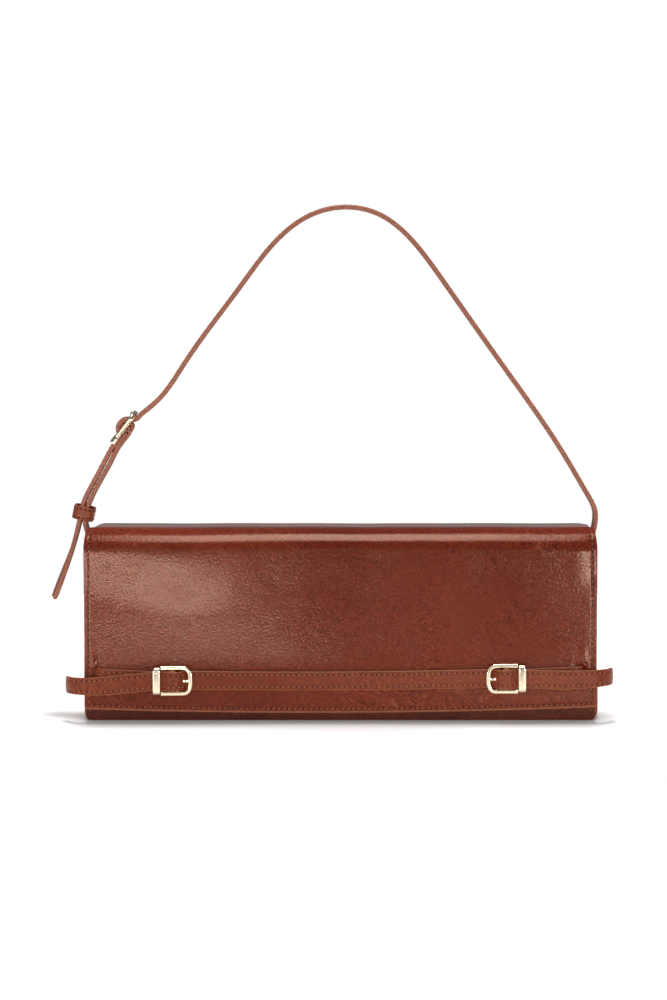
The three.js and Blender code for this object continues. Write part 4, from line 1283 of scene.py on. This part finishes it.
def short_strap_line():
    """From its sewn end below the buckle's pin down through the loop to the left rivet."""
    level = STRAP_KEEPER_UNDER - SLIP - STRAP_THICK * 1.5 - GAP
    sewn = (-1.7 * MM, -EYE_RADIUS - STRAP_THICK, -KEEPER_INNER - KEEPER_BAR)
    route = [in_buckle(x, level) for x in sewn]
    route += [*(np.array(SHORT_STRAND) * MM), *through_loop(STRAND_HALF), *near_foot(-1, LEFT_FOOT)]
    return upright(spline(route, STRAP_STEP))


def strap_loop():
    """The leather loop round both strands, with a row of stitches along each edge.

    Its middle line is a squared ellipse, |x / a|^n + |y / b|^n = 1 with n 3.5.
    """
    ring = rounded_box(LOOP_HALF, STRAP_WIDTH / 2 + 1.2 * MM, 3.5, 160)
    ring = resample(np.concatenate([ring, ring[:1]]), STRAP_STEP)[:-1]
    along = np.array([LOOP_LEAN[0], 0.0, LOOP_LEAN[1]])
    centre = np.array([LOOP_CENTRE[0], STRAP_Y, LOOP_CENTRE[1]])
    line = centre + stack(ring[:, 0] * LOOP_ACROSS[0], ring[:, 1], ring[:, 0] * LOOP_ACROSS[1])
    out = np.cross(unit(np.roll(line, -1, axis=0) - np.roll(line, 1, axis=0)), along)
    section = strap_section(LOOP_HEIGHT, LOOP_THICK, LOOP_ROW, crown=0.1 * MM)
    rings = line[:, None] + section[:, :1] * along + section[:, 1:] * out[:, None]
    faces = grid_quads(len(line) + 1, len(section), wrap=True) % (len(line) * len(section))
    index = np.tile(EDGE_FACES, len(line))
    piece = new_piece("sliding_loop", rings, faces.tolist(), [LOOP_HIDE, EDGE], index)
    dress(face_out(piece), "loop", "leather", "strap_loop")
    closed = np.append(np.arange(len(line)), 0)
    rows = []
    for _, side in SIDES:
        row = line + side * (LOOP_HEIGHT / 2 - LOOP_ROW) * along + 0.58 * MM * out
        rows.append((row[closed], out[closed]))
    sew("loop_stitches", rows, "loop", STITCHING, pitch=2.8 * MM, length=2.0 * MM)


def shoulder_strap():
    """Both straps with their stitches, the strap's buckle and the loop."""
    across = np.array([0.0, 1.0, 0.0])
    finish = [STRAP_HIDE, STRAP_EDGE]
    line = long_strap_line()
    run = lengths(line)
    twist = TAIL_TWIST * ramp(run, run[-1] - 48 * MM, 40 * MM)[:, None]
    twisted = np.cos(twist) * across + np.sin(twist) * np.cross(directions(line), across)
    rows = strap_piece("long_strap", "strap", "shoulder_strap", line, twisted, STRAP_WIDTH, STRAP_THICK,
                       finish, tips=(5 * MM, 7 * MM), ends=(4 * MM, 5 * MM))
    sew("long_strap_stitches", rows, "strap", STITCHING, sunk=1.4)
    line = short_strap_line()
    doubled = 1 + smooth(1 - lengths(line) / (17 * MM))
    rows = strap_piece("short_strap", "strap", "buckle_strap", line, across, STRAP_WIDTH, STRAP_THICK, finish,
                       tips=(0.0, 5 * MM), ends=(2 * MM, 4 * MM), under=doubled)
    sew("short_strap_stitches", rows, "strap", STITCHING, sunk=1.4)
    along, out = ((way[0], 0, way[1]) for way in (STRAP_LEAN, STRAP_OUT))
    placed = buckle_place(STRAP_PIN, along, out)
    buckle("strap", placed, "strap", "strap_prong", STRAP_FRAME_THICK, STRAP_KEEPER_UNDER)
    eye_bands("strap_eye", STRAP_EYE, 1.6 * MM, placed, "strap")
    strap_loop()


# Studio

def area_light(name, place, target, size, power, shine=True, wash=True):
    """A soft panel that faces its target.

    shine lets it show in reflections and wash lets it light matt surfaces.
    """
    data = bpy.data.lights.new(name, "AREA")
    data.shape = "RECTANGLE"
    data.size, data.size_y = size
    data.energy = power
    lamp = bpy.data.objects.new(name, data)
    bpy.context.collection.objects.link(lamp)
    lamp.location = place
    lamp.rotation_euler = (Vector(target) - Vector(place)).to_track_quat("-Z", "Y").to_euler()
    lamp.visible_camera = False
    lamp.visible_glossy = shine
    lamp.visible_diffuse = wash


def studio_world():
    """Soft even light, seen as white by the camera and as a pale room, darker above, in reflections."""
    world = bpy.data.worlds.new("studio")
    bpy.context.scene.world = world
    world.use_nodes = True
    make = Nodes(world.node_tree)
    path = make.node("LightPath").outputs
    way = make.node("SeparateXYZ", Vector=make.node("TexCoord").outputs["Generated"]).outputs
    room = make.remap(way["Z"], 0.15, 0.45, 0.355, 0.195)
    seen = make.maths("MAXIMUM", path["Is Glossy Ray"], path["Is Transmission Ray"])
    level = make.node("Mix", {"data_type": "FLOAT"}, in0=seen, in2=0.3, in3=room).outputs[0]
    level = make.node("Mix", {"data_type": "FLOAT"}, in0=path["Is Camera Ray"], in2=level, in3=1.0).outputs[0]
    make.feed(world.node_tree.nodes["Background"], Strength=level, Color=(1, 1, 1, 1))


def studio_floor():
    """A pale round floor that fades into the white behind it and keeps the object's shadow."""
    count, radius, front = 96, 0.62, 0.22
    turn = circle(count)
    depth = np.where(np.sin(turn) < 0, front, radius)
    points = stack(radius * np.cos(turn), depth * np.sin(turn), -0.2 * MM)
    made, make, shader = new_material("floor_white")
    make.feed(shader, Base_Color=(0.86, 0.86, 0.86, 1), Roughness=0.9, Specular_IOR_Level=0.1)
    path = make.node("LightPath").outputs
    seen = make.maths("MAXIMUM", path["Is Camera Ray"], path["Is Glossy Ray"])
    seen = make.maths("MAXIMUM", seen, path["Is Transmission Ray"])
    far = make.node("VectorMath", {"operation": "LENGTH"}, in0=make.where()).outputs["Value"]
    lift = make.node("Emission", Strength=make.times(seen, make.remap(far, 0.15, 0.5, 0.05, 0.6)))
    both = make.node("AddShader", in0=shader.outputs[0], in1=lift.outputs[0])
    make.feed(made.node_tree.nodes["Material Output"], Surface=both.outputs[0])
    new_piece("floor", points, [list(range(count))], [made])


def camera():
    """The photograph's view: 2 m away, 5.5 degrees above level."""
    distance, elevation = 2.0, math.radians(5.5)
    target = np.array([-4.2, -26.5, 133.7]) * MM
    height_seen = 0.597
    data = bpy.data.cameras.new("camera")
    data.sensor_width = 36
    data.lens = data.sensor_width * distance / height_seen
    view = bpy.data.objects.new("camera", data)
    bpy.context.collection.objects.link(view)
    view.location = target + distance * np.array([0, -math.cos(elevation), math.sin(elevation)])
    view.rotation_euler = (QUARTER - elevation, 0, 0)
    bpy.context.scene.camera = view


def studio():
    """The photograph's light: panels that light the bag and cards that only show in its reflections."""
    bpy.context.scene.view_settings.view_transform = "Standard"
    studio_world()
    studio_floor()
    area_light("overhead_panel", (0.01, -0.5, 1.3), (0.01, -0.45, 0), (0.43, 0.9), 16, wash=False)
    area_light("top_panel", (0.0, 0.56, 4.0), (0, -0.02, 0), (0.8, 0.86), 150, shine=False)
    area_light("fill_panel", (0.0, -1.6, 0.12), (0, 0, 0.06), (1.2, 0.4), 6.5, shine=False)
    for word, side in SIDES:
        area_light(f"{word}_side_panel", (side * 1.5, -0.7, 0.35), (0, 0, 0.08), (0.5, 0.7), 4.5, shine=False)
    area_light("low_card", (-0.35, -1.2, -0.23), (-0.15, 0, 0.08), (0.7, 0.13), 6, wash=False)
    area_light("left_card", (-0.75, -1.2, -0.04), (-0.15, 0, 0.08), (0.5, 0.07), 3, wash=False)
    area_light("right_card", (0.45, -1.2, -0.04), (0.15, 0, 0.09), (0.3, 0.07), 3, wash=False)
    area_light("buckle_card", (-0.25, -1.2, 0.17), (-0.15, 0, 0.2), (0.6, 0.2), 0.5, wash=False)
    camera()


outer_skin()
skin_stitching()
flap_lining()
front_panel()
gussets()
base_panel()
lining()
boards()
rivets()
snaps()
front_belt()
front_buckles()
shoulder_strap()
studio()
